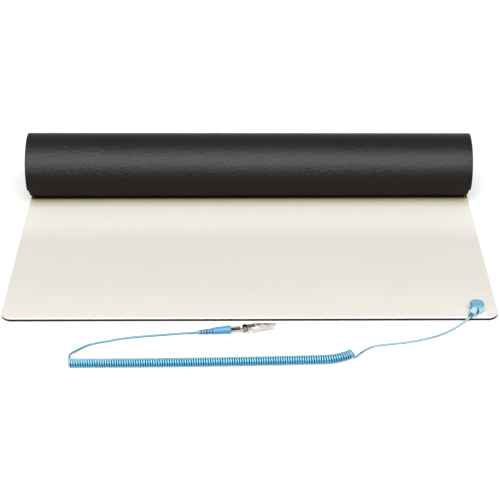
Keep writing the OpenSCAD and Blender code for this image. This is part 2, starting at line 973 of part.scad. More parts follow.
// The moving jaw's channel, with its roof, walls and toothed edge
module upper_channel() {
    inner_half = lever_half - sheet_t;
    inner_tip = tip_half - sheet_t;
    roof = [
        [loop_x, loop_z + loop_r], [saddle_x[0], saddle_z], [saddle_x[1], saddle_z],
        [roof_x, roof_z], [tip_x, tip_high]
    ];
    raised = [for (p = bite) p + [0, bite_gap]];
    outline = concat(roof, raised, [
        [throat_x, throat_z + bite_gap], [26, -1.5], [20.6, -1.5], [18.8, 0.6],
        [loop_x, loop_z + loop_r - sheet_t]
    ]);
    low_roof = [for (p = roof) p - [0, sheet_t]];
    hollow = concat([[loop_x - 2, low_roof[0][1]]], low_roof, [[tip_x, -through], [loop_x - 2, -through]]);
    difference() {
        intersection() {
            side_plate(outline, lever_half);
            plan_post([[loop_x, lever_half], [27, lever_half], [tip_x, tip_half]]);
        }
        intersection() {
            side_plate(hollow, lever_half);
            plan_post([
                [loop_x - 2, inner_half], [27, inner_half], [tip_x - sheet_t, inner_tip]
            ]);
        }
    }
}

// The moving jaw: channel, ears inside the fixed pair, and a lever rolled into a loop
module clip_upper_jaw() {
    color(nickel)
        on_clip()
            difference() {
                union() {
                    upper_channel();
                    ears(upper_ear_r, lever_half - sheet_t, lever_half);
                    translate([loop_x, lever_half, loop_z])
                        rotate([90, 0, 0])
                            cylinder(r = loop_r, h = 2 * lever_half);
                }
                translate([loop_x, lever_half + 1, loop_z])
                    rotate([90, 0, 0])
                        cylinder(r = loop_r - sheet_t, h = 2 * lever_half + 2);
                translate([slot_x[0], -slot_half, saddle_z - sheet_t])
                    cube([slot_x[1] - slot_x[0], 2 * slot_half, through]);
                translate([slant_x, 0, saddle_z - sheet_t - 0.2])
                    rotate([0, 0, slant_turn])
                        translate([-slant_len / 2, -slant_wide / 2, 0])
                            cube([slant_len, slant_wide, through]);
                pivot_rod(clip_bore_upper, jaw_half + 1);
            }
}

// Point i of 5 on the domed head of the clip's pin, from its centre to its rim
function pin_dome(i) =
    [pin_head_r * i / 5, jaw_half + pin_rim_t + (pin_head_t - pin_rim_t) * (1 - pow(i / 5, 2))];

// The rivet through both pairs of ears, with a broad domed head at each end
module clip_pin() {
    dome = [for (i = [5:-1:0]) pin_dome(i)];
    far = [for (i = [0:5]) [pin_dome(i)[0], -pin_dome(i)[1]]];
    color(nickel)
        on_clip()
            translate([pivot[0], 0, pivot[1]])
                rotate([90, 0, 0])
                    rotate_extrude()
                        polygon(concat(
                            far, [[pin_head_r, -jaw_half], [clip_pin_r, -jaw_half]],
                            [[clip_pin_r, jaw_half], [pin_head_r, jaw_half]], dome
                        ));
}

// Point of the torsion spring at angle a, across the clip
function spring_point(a) = [
    pivot[0] + spring_r * cos(a),
    spring_pitch * (a - spring_start - spring_sweep / 2) / 360,
    pivot[1] + spring_r * sin(a)
];

function spring_out(a) = [cos(a), 0, sin(a)];

function spring_heading(a) = unit(spring_point(a + 1) - spring_point(a - 1));

// Direction of a leg that leaves the winding at angle a, square to the pivot
function spring_leg_out(a) = [-sin(a), 0, cos(a)];

module clip_spring() {
    rings = round(spring_sweep / 360 * rings_per_curl);
    angles = [for (i = [0:rings]) spring_start + spring_sweep * i / rings];
    a0 = spring_start;
    a1 = spring_start + spring_sweep;
    path = concat(
        [spring_point(a0) - spring_leg * spring_leg_out(a0)],
        [for (a = angles) spring_point(a)],
        [spring_point(a1) + spring_arm * spring_leg_out(a1)]
    );
    outs = concat([spring_out(a0)], [for (a = angles) spring_out(a)], [spring_out(a1)]);
    headings = concat(
        [spring_leg_out(a0)],
        [for (a = angles) spring_heading(a)],
        [spring_leg_out(a1)]
    );
    echo(spring_gap = least_gap(path, rings_per_curl, spring_d));
    color(spring_steel)
        on_clip()
            tube(path, outs, headings, spring_d / 2, coil_sides);
}

// ---------------------------------------------------------------- nodes

mat_base_layer();
mat_top_layer();
mat_stud();
stud_eyelet();
snap_socket();
snap_ring();
socket_rivet();
head_shell();
head_cap();
head_terminal();
series_resistor();
resistor_leads();
head_conductor();
head_strain_relief();
cord_tail_head();
cord_coil();
cord_tail_plug();
plug_strain_relief();
plug_handle();
plug_conductor();
plug_pin();
plug_sleeve();
clip_lower_jaw();
clip_upper_jaw();
clip_pin();
clip_spring();
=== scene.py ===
"""Looks, light and camera for a bench mat with a coiled earth lead.

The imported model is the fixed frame. Lengths are metres in that frame: X runs
along the roll, the mat's front edge faces -Y, Z is up and the mat lies on zero.
"""

import logging
import math
from dataclasses import dataclass
from enum import Enum
from typing import Iterable, Sequence

import bmesh
import bpy
from mathutils import Matrix, Vector


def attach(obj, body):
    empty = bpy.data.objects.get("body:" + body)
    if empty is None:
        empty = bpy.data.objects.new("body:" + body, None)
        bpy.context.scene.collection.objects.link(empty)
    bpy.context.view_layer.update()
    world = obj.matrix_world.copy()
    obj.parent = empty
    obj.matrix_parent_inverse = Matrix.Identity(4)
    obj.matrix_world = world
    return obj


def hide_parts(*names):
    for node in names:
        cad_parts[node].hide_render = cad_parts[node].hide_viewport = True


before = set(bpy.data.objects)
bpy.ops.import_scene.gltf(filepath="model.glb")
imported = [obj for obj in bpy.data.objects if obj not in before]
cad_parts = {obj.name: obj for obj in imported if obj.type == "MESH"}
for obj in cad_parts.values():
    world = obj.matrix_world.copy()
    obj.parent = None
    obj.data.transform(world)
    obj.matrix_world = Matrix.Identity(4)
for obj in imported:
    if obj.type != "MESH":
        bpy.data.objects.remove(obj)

log = logging.getLogger("bench_mat")
MM = 0.001

Socket = bpy.types.NodeSocket
Piece = bpy.types.Object
Colour = tuple[float, float, float]


# ------------------------------------------------------------------ shader maths


class Value:
    """One number that a node gives; Python's operators add Math nodes to it."""

    def __init__(self, graph: "Graph", socket: Socket) -> None:
        """Wraps one output socket.

        Args:
            graph: The graph that the socket belongs to.
            socket: The output socket.
        """
        self.graph = graph
        self.socket = socket

    def __add__(self, other: "Value | float") -> "Value":
        """self + other."""
        return self.graph.math("ADD", self, other)

    def __radd__(self, other: float) -> "Value":
        """other + self."""
        return self.graph.math("ADD", other, self)

    def __sub__(self, other: "Value | float") -> "Value":
        """self - other."""
        return self.graph.math("SUBTRACT", self, other)

    def __rsub__(self, other: float) -> "Value":
        """other - self."""
        return self.graph.math("SUBTRACT", other, self)

    def __mul__(self, other: "Value | float") -> "Value":
        """self * other."""
        return self.graph.math("MULTIPLY", self, other)

    def __rmul__(self, other: float) -> "Value":
        """other * self."""
        return self.graph.math("MULTIPLY", other, self)

    def __truediv__(self, other: "Value | float") -> "Value":
        """self / other."""
        return self.graph.math("DIVIDE", self, other)

    def __rtruediv__(self, other: float) -> "Value":
        """other / self."""
        return self.graph.math("DIVIDE", other, self)

    def __gt__(self, other: "Value | float") -> "Value":
        """1 where self is greater than other, else 0."""
        return self.graph.math("GREATER_THAN", self, other)

    def __pow__(self, other: "Value | float") -> "Value":
        """self ** other."""
        return self.graph.math("POWER", self, other)

    def __abs__(self) -> "Value":
        """The size of self, without its sign."""
        return self.graph.math("ABSOLUTE", self)

    def clamped(self) -> "Value":
        """self, held between 0 and 1."""
        return self.graph.math("MINIMUM", self.graph.math("MAXIMUM", self, 0.0), 1.0)

    def band(self, low: float, high: float) -> "Value":
        """A smooth step of self.

        Args:
            low: Where the result is 0.
            high: Where the result is 1.

        Returns:
            A value from 0 to 1.
        """
        node = self.graph.add(
            "ShaderNodeMapRange",
            {"interpolation_type": "SMOOTHSTEP"},
            {"Value": self, "From Min": low, "From Max": high},
        )
        return Value(self.graph, node.outputs["Result"])


Link = Value | Socket | float | Sequence[float]


class Graph:
    """The node tree of one material or of the world."""

    def __init__(self, owner: bpy.types.Material | bpy.types.World) -> None:
        """Empties the owner's tree.

        Args:
            owner: The material or world that the tree belongs to.
        """
        self.owner = owner
        owner.use_nodes = True
        self.tree = owner.node_tree
        self.tree.nodes.clear()

    def add(
        self,
        kind: str,
        settings: dict[str, str] | None = None,
        values: dict[str | int, Link] | None = None,
    ) -> bpy.types.Node:
        """Adds one node.

        Args:
            kind: The node's type.
            settings: The node's own settings, which are set first.
            values: What goes into its sockets, by name or place: links or plain values.

        Returns:
            The new node.
        """
        node = self.tree.nodes.new(kind)
        for key, setting in (settings or {}).items():
            setattr(node, key, setting)
        for key, value in (values or {}).items():
            self.plug(node.inputs[key], value)
        return node

    def plug(self, target: Socket, value: Link) -> None:
        """Links or sets one input.

        Args:
            target: The input socket.
            value: A link or a plain value.
        """
        if isinstance(value, Value):
            value = value.socket
        if isinstance(value, Socket):
            self.tree.links.new(value, target)
        elif target.type == "RGBA":
            target.default_value = (*value, 1.0)
        else:
            target.default_value = value

    def math(self, operation: str, *values: Value | float) -> Value:
        """Adds a Math node.

        Args:
            operation: The node's operation.
            values: Its inputs, in order.

        Returns:
            Its result.
        """
        node = self.add("ShaderNodeMath", {"operation": operation}, dict(enumerate(values)))
        return Value(self, node.outputs[0])

    def mix(self, factor: Value | float, first: Link, second: Link) -> Socket:
        """Mixes two colours.

        Args:
            factor: The share of the second colour.
            first: The first colour.
            second: The second colour.

        Returns:
            The mixed colour's socket.
        """
        values = {0: factor, 6: first, 7: second}
        return self.add("ShaderNodeMix", {"data_type": "RGBA"}, values).outputs[2]

    def place(self) -> Socket:
        """Returns the point on the piece, in metres of the frame."""
        return self.add("ShaderNodeTexCoord").outputs["Object"]

    def stretched(self, point: Socket, scale: Sequence[float]) -> Socket:
        """Scales a point along each axis, for a texture that is drawn out."""
        return self.add("ShaderNodeMapping", {}, {"Vector": point, "Scale": scale}).outputs[0]

    def axes(self, point: Socket) -> tuple[Value, Value, Value]:
        """Splits a point into its X, Y and Z."""
        node = self.add("ShaderNodeSeparateXYZ", {}, {0: point})
        return tuple(Value(self, one) for one in node.outputs)

    def within(self, place: "Place", point: Socket) -> tuple[Value, Value, Value]:
        """Splits a point in a piece's own axes.

        Args:
            place: The piece's axes.
            point: The point in the frame.

        Returns:
            X, Y and Z along those axes, in millimetres.
        """
        node = self.add(
            "ShaderNodeMapping",
            {"vector_type": "TEXTURE"},
            {"Vector": point, "Location": place.at, "Rotation": place.turn, "Scale": (MM, MM, MM)},
        )
        return self.axes(node.outputs[0])

    def radius(self, a: Value, b: Value) -> Value:
        """The length of (a, b)."""
        return (a * a + b * b) ** 0.5

    def noise(self, point: Socket, size: float, detail: float, rough: float) -> Value:
        """Adds smooth noise.

        Args:
            point: Where it is read.
            size: The size of its lumps, in metres.
            detail: Its octaves.
            rough: How strong the fine octaves are.

        Returns:
            A value around 0.5.
        """
        node = self.add(
            "ShaderNodeTexNoise",
            {"noise_dimensions": "3D"},
            {"Vector": point, "Scale": 1.0 / size, "Detail": detail, "Roughness": rough},
        )
        return Value(self, node.outputs["Fac"])

    def pebbles(self, point: Socket, size: float) -> Value:
        """Adds a pattern of rounded cells.

        Args:
            point: Where it is read.
            size: The size of a cell, in metres.

        Returns:
            The distance from a cell's middle, in cells.
        """
        node = self.add("ShaderNodeTexVoronoi", {"feature": "SMOOTH_F1"},
                        {"Vector": point, "Scale": 1.0 / size})
        return Value(self, node.outputs["Distance"])

    def bump(self, height: Value, depth: float, strength: float = 1.0) -> Socket:
        """Turns a height into a normal.

        Args:
            height: The height, from 0 to 1.
            depth: The depth that 1 stands for, in metres.
            strength: The share of the bump.

        Returns:
            The normal's socket.
        """
        values = {"Height": height, "Distance": depth, "Strength": strength}
        return self.add("ShaderNodeBump", {}, values).outputs[0]

    def seen(self) -> Value:
        """Tells what the camera sees, straight, in a mirror or through glass.

        Returns:
            1 where it is seen, else 0.
        """
        path = self.add("ShaderNodeLightPath")
        names = ("Is Camera Ray", "Is Glossy Ray", "Is Transmission Ray")
        return sum((Value(self, path.outputs[n]) for n in names), 0.0).clamped()

    def close(self, shader: bpy.types.Node) -> bpy.types.Material | bpy.types.World:
        """Links the last shader to the output.

        Args:
            shader: The last shader.

        Returns:
            The owner of the tree.
        """
        owned_by = "World" if isinstance(self.owner, bpy.types.World) else "Material"
        self.add("ShaderNodeOutput" + owned_by, {}, {0: shader.outputs[0]})
        return self.owner

    def surface(self, values: dict[str, Link]) -> bpy.types.Material:
        """Closes the graph with one Principled shader.

        Args:
            values: What goes into its sockets.

        Returns:
            The finished material.
        """
        return self.close(self.add("ShaderNodeBsdfPrincipled", {}, values))


# ------------------------------------------------------------------ places


@dataclass(frozen=True)
class Place:
    """A piece's own axes in the frame: X along the piece, Y across, Z up."""

    origin: tuple[float, float, float]
    heading: float
    rise: float

    @property
    def at(self) -> tuple[float, float, float]:
        """The origin, in metres."""
        return tuple(MM * v for v in self.origin)

    @property
    def turn(self) -> tuple[float, float, float]:
        """The axes' rotation, as Euler angles."""
        return (0.0, math.radians(-self.rise), math.radians(self.heading))

    def point(self, x: float) -> Vector:
        """A point of the X axis in the frame, in millimetres."""
        turned = Matrix.Rotation(self.turn[2], 3, "Z") @ Matrix.Rotation(self.turn[1], 3, "Y")
        return Vector(self.origin) + turned @ Vector((x, 0.0, 0.0))


HEAD = Place((274.3, -164.2, 2.5), 240.0, 0.0)
BARREL = Place((274.3, -164.2, 10.0), 240.0, -13.0)
PLUG = Place((-60.0, -209.5, 3.1), 5.0, 2.8)
COIL = Place((-206.0, -274.4, 5.3), 0.0, 0.0)
# Where the clip starts along the plug: the end of the plug's handle, in millimetres
CLIP_X = 38.3


# ------------------------------------------------------------------ finishes


@dataclass(frozen=True)
class Finish:
    """A named surface; each kind of finish builds its own material."""

    name: str

    def material(self) -> bpy.types.Material:
        """Returns the finish's material, made on first use."""
        found = bpy.data.materials.get(self.name)
        return found if found is not None else self.build()

    def build(self) -> bpy.types.Material:
        """Makes the material."""
        raise NotImplementedError

    def lit_and_shaded(self, g: Graph, at: Socket, plain: Socket) -> Socket:
        """Adds the piece's painted light and shade to its colour; a plain piece has none.

        Args:
            g: The graph.
            at: The point in the frame.
            plain: The colour without the painted light and shade.

        Returns:
            The colour's socket.
        """
        return plain

    def dress(self, *pieces: Piece) -> None:
        """Gives the finish to pieces.

        Args:
            pieces: CAD nodes or new pieces.
        """
        made = self.material()
        for piece in pieces:
            if not piece.material_slots:
                piece.data.materials.append(made)
            for one in piece.material_slots:
                one.material = made


@dataclass(frozen=True)
class GrainedRubber(Finish):
    """Rubber sheet with a pressed leather grain and faint clouds, matt low down, in metres."""

    colour: Colour
    pale: Colour
    grain: float
    depth: float
    roughness: float
    specular: float
    matt: float
    grit: float
    low: tuple[float, float] = (0.006, 0.046)
    cloud_size: float = 0.09

    def build(self) -> bpy.types.Material:
        """Makes the sheet's material.

        Returns:
            The sheet's material.
        """
        g = Graph(bpy.data.materials.new(self.name))
        at = g.place()
        cloud = g.noise(at, self.cloud_size, 3.0, 0.55)
        fine = g.noise(at, 2.4 * self.grain, 3.0, 0.6)
        pebbles = g.pebbles(at, self.grain)
        wrinkle = g.noise(g.stretched(at, (0.6, 1.0, 1.0)), 3.2 * self.grain, 2.0, 0.5)
        mix = (0.7 * cloud + self.grit * (fine - 0.5) + 0.15).clamped()
        _, _, z = g.axes(at)
        rough = self.roughness + self.matt * (1.0 - z.band(*self.low))
        rough = rough + 0.1 * self.grit * (fine - 0.5) + 0.08 * (cloud - 0.5)
        height = 1.0 - pebbles + 1.1 * wrinkle + 0.3 * fine
        return g.surface(
            {
                "Base Color": self.lit_and_shaded(g, at, g.mix(mix, self.colour, self.pale)),
                "Roughness": rough,
                "Specular IOR Level": self.specular,
                "Normal": g.bump(height, self.depth),
            }
        )


@dataclass(frozen=True, kw_only=True)
class RolledRubber(GrainedRubber):
    """The mat's black rubber, with a warm shade painted on the roll's lower half, by metres of
    height.
    """

    dust_and_shade: Colour
    low_shade_span: tuple[float, float] = (0.028, 0.066)
    unshaded_below: tuple[float, float] = (0.003, 0.01)

    def lit_and_shaded(self, g: Graph, at: Socket, plain: Socket) -> Socket:
        """Adds the painted warm shade, which stops short of the cut edge."""
        _, _, z = g.axes(at)
        return g.mix((1.0 - z.band(*self.low_shade_span)) * z.band(*self.unshaded_below), plain, self.dust_and_shade)


@dataclass(frozen=True, kw_only=True)
class EdgedRubber(GrainedRubber):
    """Rubber top layer, with a painted highlight on its front cut edge, painted light towards its
    back and front, a painted warm shade under the roll and a painted contact shadow where the roll
    meets it.

    Its bands are metres along Y.
    """

    lip_highlight: Colour
    painted_light: Colour
    warm_shade: Colour
    contact_shadow: Colour
    edge: tuple[float, float] = (-0.177, -0.175)
    back: tuple[float, float] = (-0.01, 0.06)
    fore: tuple[float, float] = (-0.165, -0.09)
    fore_share: float = 0.33
    under: tuple[float, float] = (0.088, 0.105)
    touch: tuple[float, float] = (0.1145, 0.1195)

    def lit_and_shaded(self, g: Graph, at: Socket, plain: Socket) -> Socket:
        """Adds the painted highlight on the lip, the painted light towards the ends, the painted
        warm shade and the painted contact shadow under the roll.

        Args:
            g: The graph.
            at: The point in the frame.
            plain: The colour without the painted light and shade.

        Returns:
            The colour's socket.
        """
        _, y, _ = g.axes(at)
        # Painted light: the sheet is paler towards the back and the front.
        pale = y.band(*self.back) + self.fore_share * (1.0 - y.band(*self.fore))
        # Painted warm shade under the roll.
        warm_shaded = g.mix(y.band(*self.under), g.mix(pale, plain, self.painted_light), self.warm_shade)
        # Painted contact shadow where the roll meets the sheet.
        shadowed = g.mix(y.band(*self.touch), warm_shaded, self.contact_shadow)
        # Painted highlight along the front cut edge.
        return g.mix(1.0 - y.band(*self.edge), shadowed, self.lip_highlight)


@dataclass(frozen=True)
class MouldedPlastic(Finish):
    """Satin moulded plastic, with a spark-eroded texture and rubbed spots."""

    colour: Colour
    deep: Colour
    roughness: float
    texture: float = 0.00035
    depth: float = 0.000012

    def build(self) -> bpy.types.Material:
        """Makes the plastic.

        Returns:
            The plastic.
        """
        g = Graph(bpy.data.materials.new(self.name))
        at = g.place()
        flow = g.noise(g.stretched(at, (1.0, 1.0, 2.2)), 0.012, 3.0, 0.6)
        spark = g.noise(at, self.texture, 2.0, 0.5)
        rubbed = g.noise(at, 0.0045, 4.0, 0.65).band(0.52, 0.72)
        rough = self.roughness + 0.1 * (flow - 0.5) - 0.1 * rubbed
        plain = g.mix(flow.band(0.3, 0.7), self.deep, self.colour)
        return g.surface(
            {
                "Base Color": self.lit_and_shaded(g, at, plain),
                "Roughness": rough,
                "Specular IOR Level": 0.34,
                "Subsurface Weight": 0.12,
                "Subsurface Radius": (0.4, 0.7, 1.0),
                "Subsurface Scale": 0.0012,
                "Normal": g.bump(spark + 0.6 * flow, self.depth),
            }
        )


@dataclass(frozen=True, kw_only=True)
class CupPlastic(MouldedPlastic):
    """The head's cup, with its wall in a painted sheen tone, and painted shade on the barrel's side
    and in the groove round the barrel's foot.

    Its sizes are millimetres in the head's and the barrel's own axes.
    """

    wall_sheen: Colour
    flank_shade: Colour
    groove_shade: Colour
    wall_r: float = 8.7
    barrel_r: float = 4.4
    barrel_end: tuple[float, float] = (12.5, 15.0)
    rim: float = 0.75

    def lit_and_shaded(self, g: Graph, at: Socket, plain: Socket) -> Socket:
        """Adds the painted sheen tone of the wall, and the painted shade on the side of the barrel
        and in the groove.

        Args:
            g: The graph.
            at: The point in the frame.
            plain: The colour without the painted light and shade.

        Returns:
            The colour's socket.
        """
        x, y, z = g.within(HEAD, at)
        along, across, up = g.within(BARREL, at)
        clear = g.radius(across, up * (up > 0.0)).band(self.barrel_r + 0.03, self.barrel_r + 0.12)
        side = (across - 0.35 * up).band(self.barrel_r - 1.1, self.barrel_r - 0.1)
        side = side * (1.0 - along.band(*self.barrel_end))
        # Painted sheen on the wall and painted shade on the barrel's side.
        walled = g.mix(clear, g.mix(side, plain, self.flank_shade), self.wall_sheen)
        inside = 1.0 - g.radius(x, y).band(self.wall_r - 0.3, self.wall_r - 0.12)
        # Painted shade in the groove round the barrel's foot.
        return g.mix(clear * inside * z.band(self.rim + 0.05, self.rim + 0.15), walled, self.groove_shade)


@dataclass(frozen=True, kw_only=True)
class CapPlastic(MouldedPlastic):
    """The head's cap, with painted shade in its pry notch and on its rounded rim; its sizes are
    millimetres.
    """

    notch_shade: Colour
    rim: Colour
    top: float = 11.5
    rim_r: float = 8.7

    def lit_and_shaded(self, g: Graph, at: Socket, plain: Socket) -> Socket:
        """Adds the painted shade in the notch and on the rim.

        Args:
            g: The graph.
            at: The point in the frame.
            plain: The colour without the painted light and shade.

        Returns:
            The colour's socket.
        """
        x, y, z = g.within(HEAD, at)
        out = g.radius(x, y)
        # Painted shade on the rounded rim.
        rimmed = g.mix(out.band(self.rim_r - 0.9, self.rim_r - 0.25), plain, self.rim)
        sunk = 1.0 - z.band(self.top - 0.4, self.top - 0.3)
        within_rim = 1.0 - out.band(self.rim_r - 0.55, self.rim_r - 0.45)
        # Painted shade in the pry notch.
        return g.mix(sunk * within_rim, rimmed, self.notch_shade)


@dataclass(frozen=True, kw_only=True)
class RibbedPlastic(MouldedPlastic):
    """The strain relief, with painted shade in the slots between its ribs; its sizes are
    millimetres.
    """

    slot: Colour
    pitch: float = 3.36
    first: float = 2.81
    half: float = 0.95

    def lit_and_shaded(self, g: Graph, at: Socket, plain: Socket) -> Socket:
        """Paints shade into the slots and onto the ribs' shoulders beside them.

        Args:
            g: The graph.
            at: The point in the frame.
            plain: The colour without the painted light and shade.

        Returns:
            The colour's socket.
        """
        x, _, _ = g.within(PLUG, at)
        off = g.math("FRACT", (x - self.first) / self.pitch + 0.5) - 0.5
        # Painted shade in the slots and on the ribs' shoulders.
        return g.mix(abs(off * self.pitch).band(self.half, self.half + 0.2), self.slot, plain)


@dataclass(frozen=True)
class CordSheath(Finish):
    """Soft extruded sheath, with painted light on the coil's tops, painted shade in the gaps
    between its turns, faded along the tails and with a painted highlight on the tail near the head.

    The fade and the painted highlight's span are metres along X, and the coil's own sizes are
    millimetres.
    """

    lit_crest: Colour
    low: Colour
    gap: Colour
    tail: Colour
    faded: Colour
    painted_light: Colour
    fade: tuple[float, float] = (0.10, 0.125)
    highlight_span: tuple[float, float] = (0.225, 0.26)
    long_run: float = 292.0
    bow: float = 6.874e-5
    bend_at: tuple[float, float] = (289.69, 61.475)
    bend_r: float = 55.66
    hollow: tuple[float, float] = (4.7, 5.2)
    crown: tuple[float, float] = (0.0, 4.4)
    outside: tuple[float, float] = (5.35, 5.6)

    def from_axis(self, g: Graph, at: Socket) -> tuple[Value, Value]:
        """Finds the coil's axis, which is bowed and then bent.

        Args:
            g: The graph.
            at: The point in the frame.

        Returns:
            The distance from the axis and the height above it, in millimetres.
        """
        x, y, z = g.within(COIL, at)
        bowed = y - self.bow * x * x
        bent = self.bend_r - g.radius(x - self.bend_at[0], y - self.bend_at[1])
        turned = x > self.long_run
        return g.radius(bowed + turned * (bent - bowed), z), z

    def build(self) -> bpy.types.Material:
        """Makes the sheath.

        Returns:
            The sheath's material.
        """
        g = Graph(bpy.data.materials.new(self.name))
        at = g.place()
        skin = g.noise(at, 0.0006, 3.0, 0.6)
        dust_and_shade = g.noise(at, 0.0035, 4.0, 0.7).band(0.55, 0.8)
        x, _, _ = g.axes(at)
        out, up = self.from_axis(g, at)
        # Painted light: the coil's tops are paler than its lower sides.
        lit = g.mix(up.band(*self.crown), self.low, self.lit_crest)
        # Painted shade in the gaps between the turns.
        wound = g.mix(out.band(*self.hollow), self.gap, lit)
        fading = g.mix(x.band(*self.fade), self.tail, self.faded)
        # Painted highlight on the tail near the head.
        loose = g.mix(x.band(*self.highlight_span), fading, self.painted_light)
        return g.surface(
            {
                "Base Color": g.mix(out.band(*self.outside), wound, loose),
                "Roughness": 0.34 + 0.12 * dust_and_shade + 0.06 * (skin - 0.5),
                "Specular IOR Level": 0.35,
                "Subsurface Weight": 0.08,
                "Subsurface Radius": (0.35, 0.7, 1.0),
                "Subsurface Scale": 0.0006,
                "Normal": g.bump(skin, 0.00001),
            }
        )


@dataclass(frozen=True)
class PlatedMetal(Finish):
    """Plated or drawn metal, with fine scratches and a few dull spots."""

    colour: Colour
    dull: Colour
    roughness: float
    scratch: float = 0.5

    def build(self) -> bpy.types.Material:
        """Makes the metal.

        Returns:
            The metal.
        """
        g = Graph(bpy.data.materials.new(self.name))
        at = g.place()
        drawn = g.noise(g.stretched(at, (0.12, 1.0, 1.0)), 0.00035, 3.0, 0.6)
        haze = g.noise(at, 0.006, 4.0, 0.6)
        spots = g.noise(at, 0.0016, 3.0, 0.7).band(0.6, 0.72)
        rough = self.roughness + 0.12 * (haze - 0.5) + 0.18 * spots + 0.08 * (drawn - 0.5)
        dulled = (0.5 * haze.band(0.4, 0.7) + 0.6 * spots).clamped()
        return g.surface(
            {
                "Base Color": self.lit_and_shaded(g, at, g.mix(dulled, self.colour, self.dull)),
                "Metallic": 1.0,
                "Roughness": rough,
                "Normal": g.bump(drawn, 0.000004, self.scratch),
            }
        )


@dataclass(frozen=True, kw_only=True)
class PinMetal(PlatedMetal):
    """The plug pin's plating, with painted shade in a line under the seam of the clip's tube.

    Its sizes are millimetres in the plug's own axes.
    """

    painted_shade: Colour
    seam_turn: float = 59.0
    seam: tuple[float, float] = (0.5, 0.65)

    def line(self, y: Value, z: Value) -> Value:
        """Finds the painted shade along the seam.

        Args:
            y: The place across the plug.
            z: The height over the plug's axis.

        Returns:
            1 on the line, else 0.
        """
        turn = math.radians(self.seam_turn)
        beside = abs(y * math.cos(turn) + z * math.sin(turn))
        near = z * math.cos(turn) - y * math.sin(turn)
        return (1.0 - beside.band(*self.seam)) * near.band(0.0, 0.5)

    def lit_and_shaded(self, g: Graph, at: Socket, plain: Socket) -> Socket:
        """Adds the painted shade along the seam."""
        _, y, z = g.within(PLUG, at)
        return g.mix(self.line(y, z), plain, self.painted_shade)


@dataclass(frozen=True, kw_only=True)
class ClipMetal(PinMetal):
    """The clip's pressed sheet, with painted shade in its tube, slots and hollows and round its
    rivet, and painted shade and dark reflection along its lever.

    Places are millimetres from the end of the plug's handle and over the plug's axis.
    """

    lever_shade: Colour
    tube_r: float = 2.9
    tube_end: float = 11.4
    pivot: tuple[float, float] = (23.3, -2.3)
    loop: tuple[float, float] = (16.4, 0.7)
    loop_in: tuple[float, float] = (2.25, 2.45)
    loop_out: tuple[float, float] = (3.1, 3.4)
    throat_in: tuple[float, float] = (3.4, 3.8)
    throat_out: tuple[float, float] = (4.2, 4.7)
    throat_top: tuple[float, float] = (0.2, 1.0)
    throat_end: tuple[float, float] = (18.4, 19.0)
    rivet_in: tuple[float, float] = (3.25, 3.35)
    rivet_out: tuple[float, float] = (3.6, 4.2)
    lever_start: float = 18.0
    saddle: float = 28.0
    slot_x: float = 33.0
    slot_half: tuple[float, float] = (2.2, 0.9)
    slant_x: float = 42.0
    slant_half: tuple[float, float] = (3.1, 0.6)
    slant_turn: float = -26.0
    roof: tuple[float, float] = (1.8, 2.4)
    lever_top: tuple[float, float] = (1.6, 1.9)

    @staticmethod
    def ring(out: Value, inner: tuple[float, float], outer: tuple[float, float]) -> Value:
        """1 between two radii, with a soft start and a soft end."""
        return out.band(*inner) * (1.0 - out.band(*outer))

    @staticmethod
    def patch(a: Value, b: Value, half: tuple[float, float]) -> Value:
        """A soft rectangle about zero, by half its length and half its width."""
        beyond = abs(b).band(half[1], half[1] + 0.4)
        return (1.0 - abs(a).band(half[0], half[0] + 0.5)) * (1.0 - beyond)

    def tube(self, along: Value, out: Value, line: Value) -> Value:
        """Finds the painted shade of the tube, by the distance from its axis and the seam's line.
        """
        inside = 1.0 - out.band(self.tube_r - 0.55, self.tube_r - 0.35)
        return (line + inside).clamped() * (1.0 - along.band(self.tube_end - 0.2, self.tube_end))

    def curled(self, along: Value, z: Value, out: Value) -> Value:
        """Finds the painted shade on the rolled loop and in the throat below it.

        Args:
            along: The place along the clip.
            z: The height over the plug's axis.
            out: The distance from the loop's middle.

        Returns:
            1 where it is dark, else 0.
        """
        below = (1.0 - z.band(*self.throat_top)) * (1.0 - along.band(*self.throat_end))
        throat = self.ring(out, self.throat_in, self.throat_out) * below
        return self.ring(out, self.loop_in, self.loop_out) + 0.8 * throat

    def slots(self, along: Value, y: Value, z: Value) -> Value:
        """Finds the painted shade of the straight slot and the slanting slot in the roof.

        Args:
            along: The place along the clip.
            y: The place across the clip.
            z: The height over the plug's axis.

        Returns:
            1 in the slots, else 0.
        """
        c, n = math.cos(math.radians(self.slant_turn)), math.sin(math.radians(self.slant_turn))
        u = along - self.slant_x
        slanting = self.patch(u * c + y * n, y * c - u * n, self.slant_half)
        return (self.patch(along - self.slot_x, y, self.slot_half) + slanting) * z.band(*self.roof)

    def lit_and_shaded(self, g: Graph, at: Socket, plain: Socket) -> Socket:
        """Adds the painted shade, and the painted shade and dark reflection on the lever.

        Args:
            g: The graph.
            at: The point in the frame.
            plain: The colour without the painted light and shade.

        Returns:
            The colour's socket.
        """
        x, y, z = g.within(PLUG, at)
        along = x - CLIP_X
        rivet = g.radius(along - self.pivot[0], z - self.pivot[1])
        loop = g.radius(along - self.loop[0], z - self.loop[1])
        # Painted shade in the tube, along its seam and in the roof's slots.
        dark = self.tube(along, g.radius(y, z), self.line(y, z)) + self.slots(along, y, z)
        # Painted shade round the rivet, in the loop and in the throat.
        riveted = 0.6 * self.ring(rivet, self.rivet_in, self.rivet_out)
        dark = dark + self.curled(along, z, loop) + riveted
        before = 1.0 - along.band(self.saddle, self.saddle + 0.8)
        lever = before * along.band(self.loop[0], self.lever_start)
        # Painted shade and dark reflection on the lever's top.
        lever_shaded = g.mix(0.85 * lever * z.band(*self.lever_top), plain, self.lever_shade)
        return g.mix(dark.clamped(), lever_shaded, self.painted_shade)


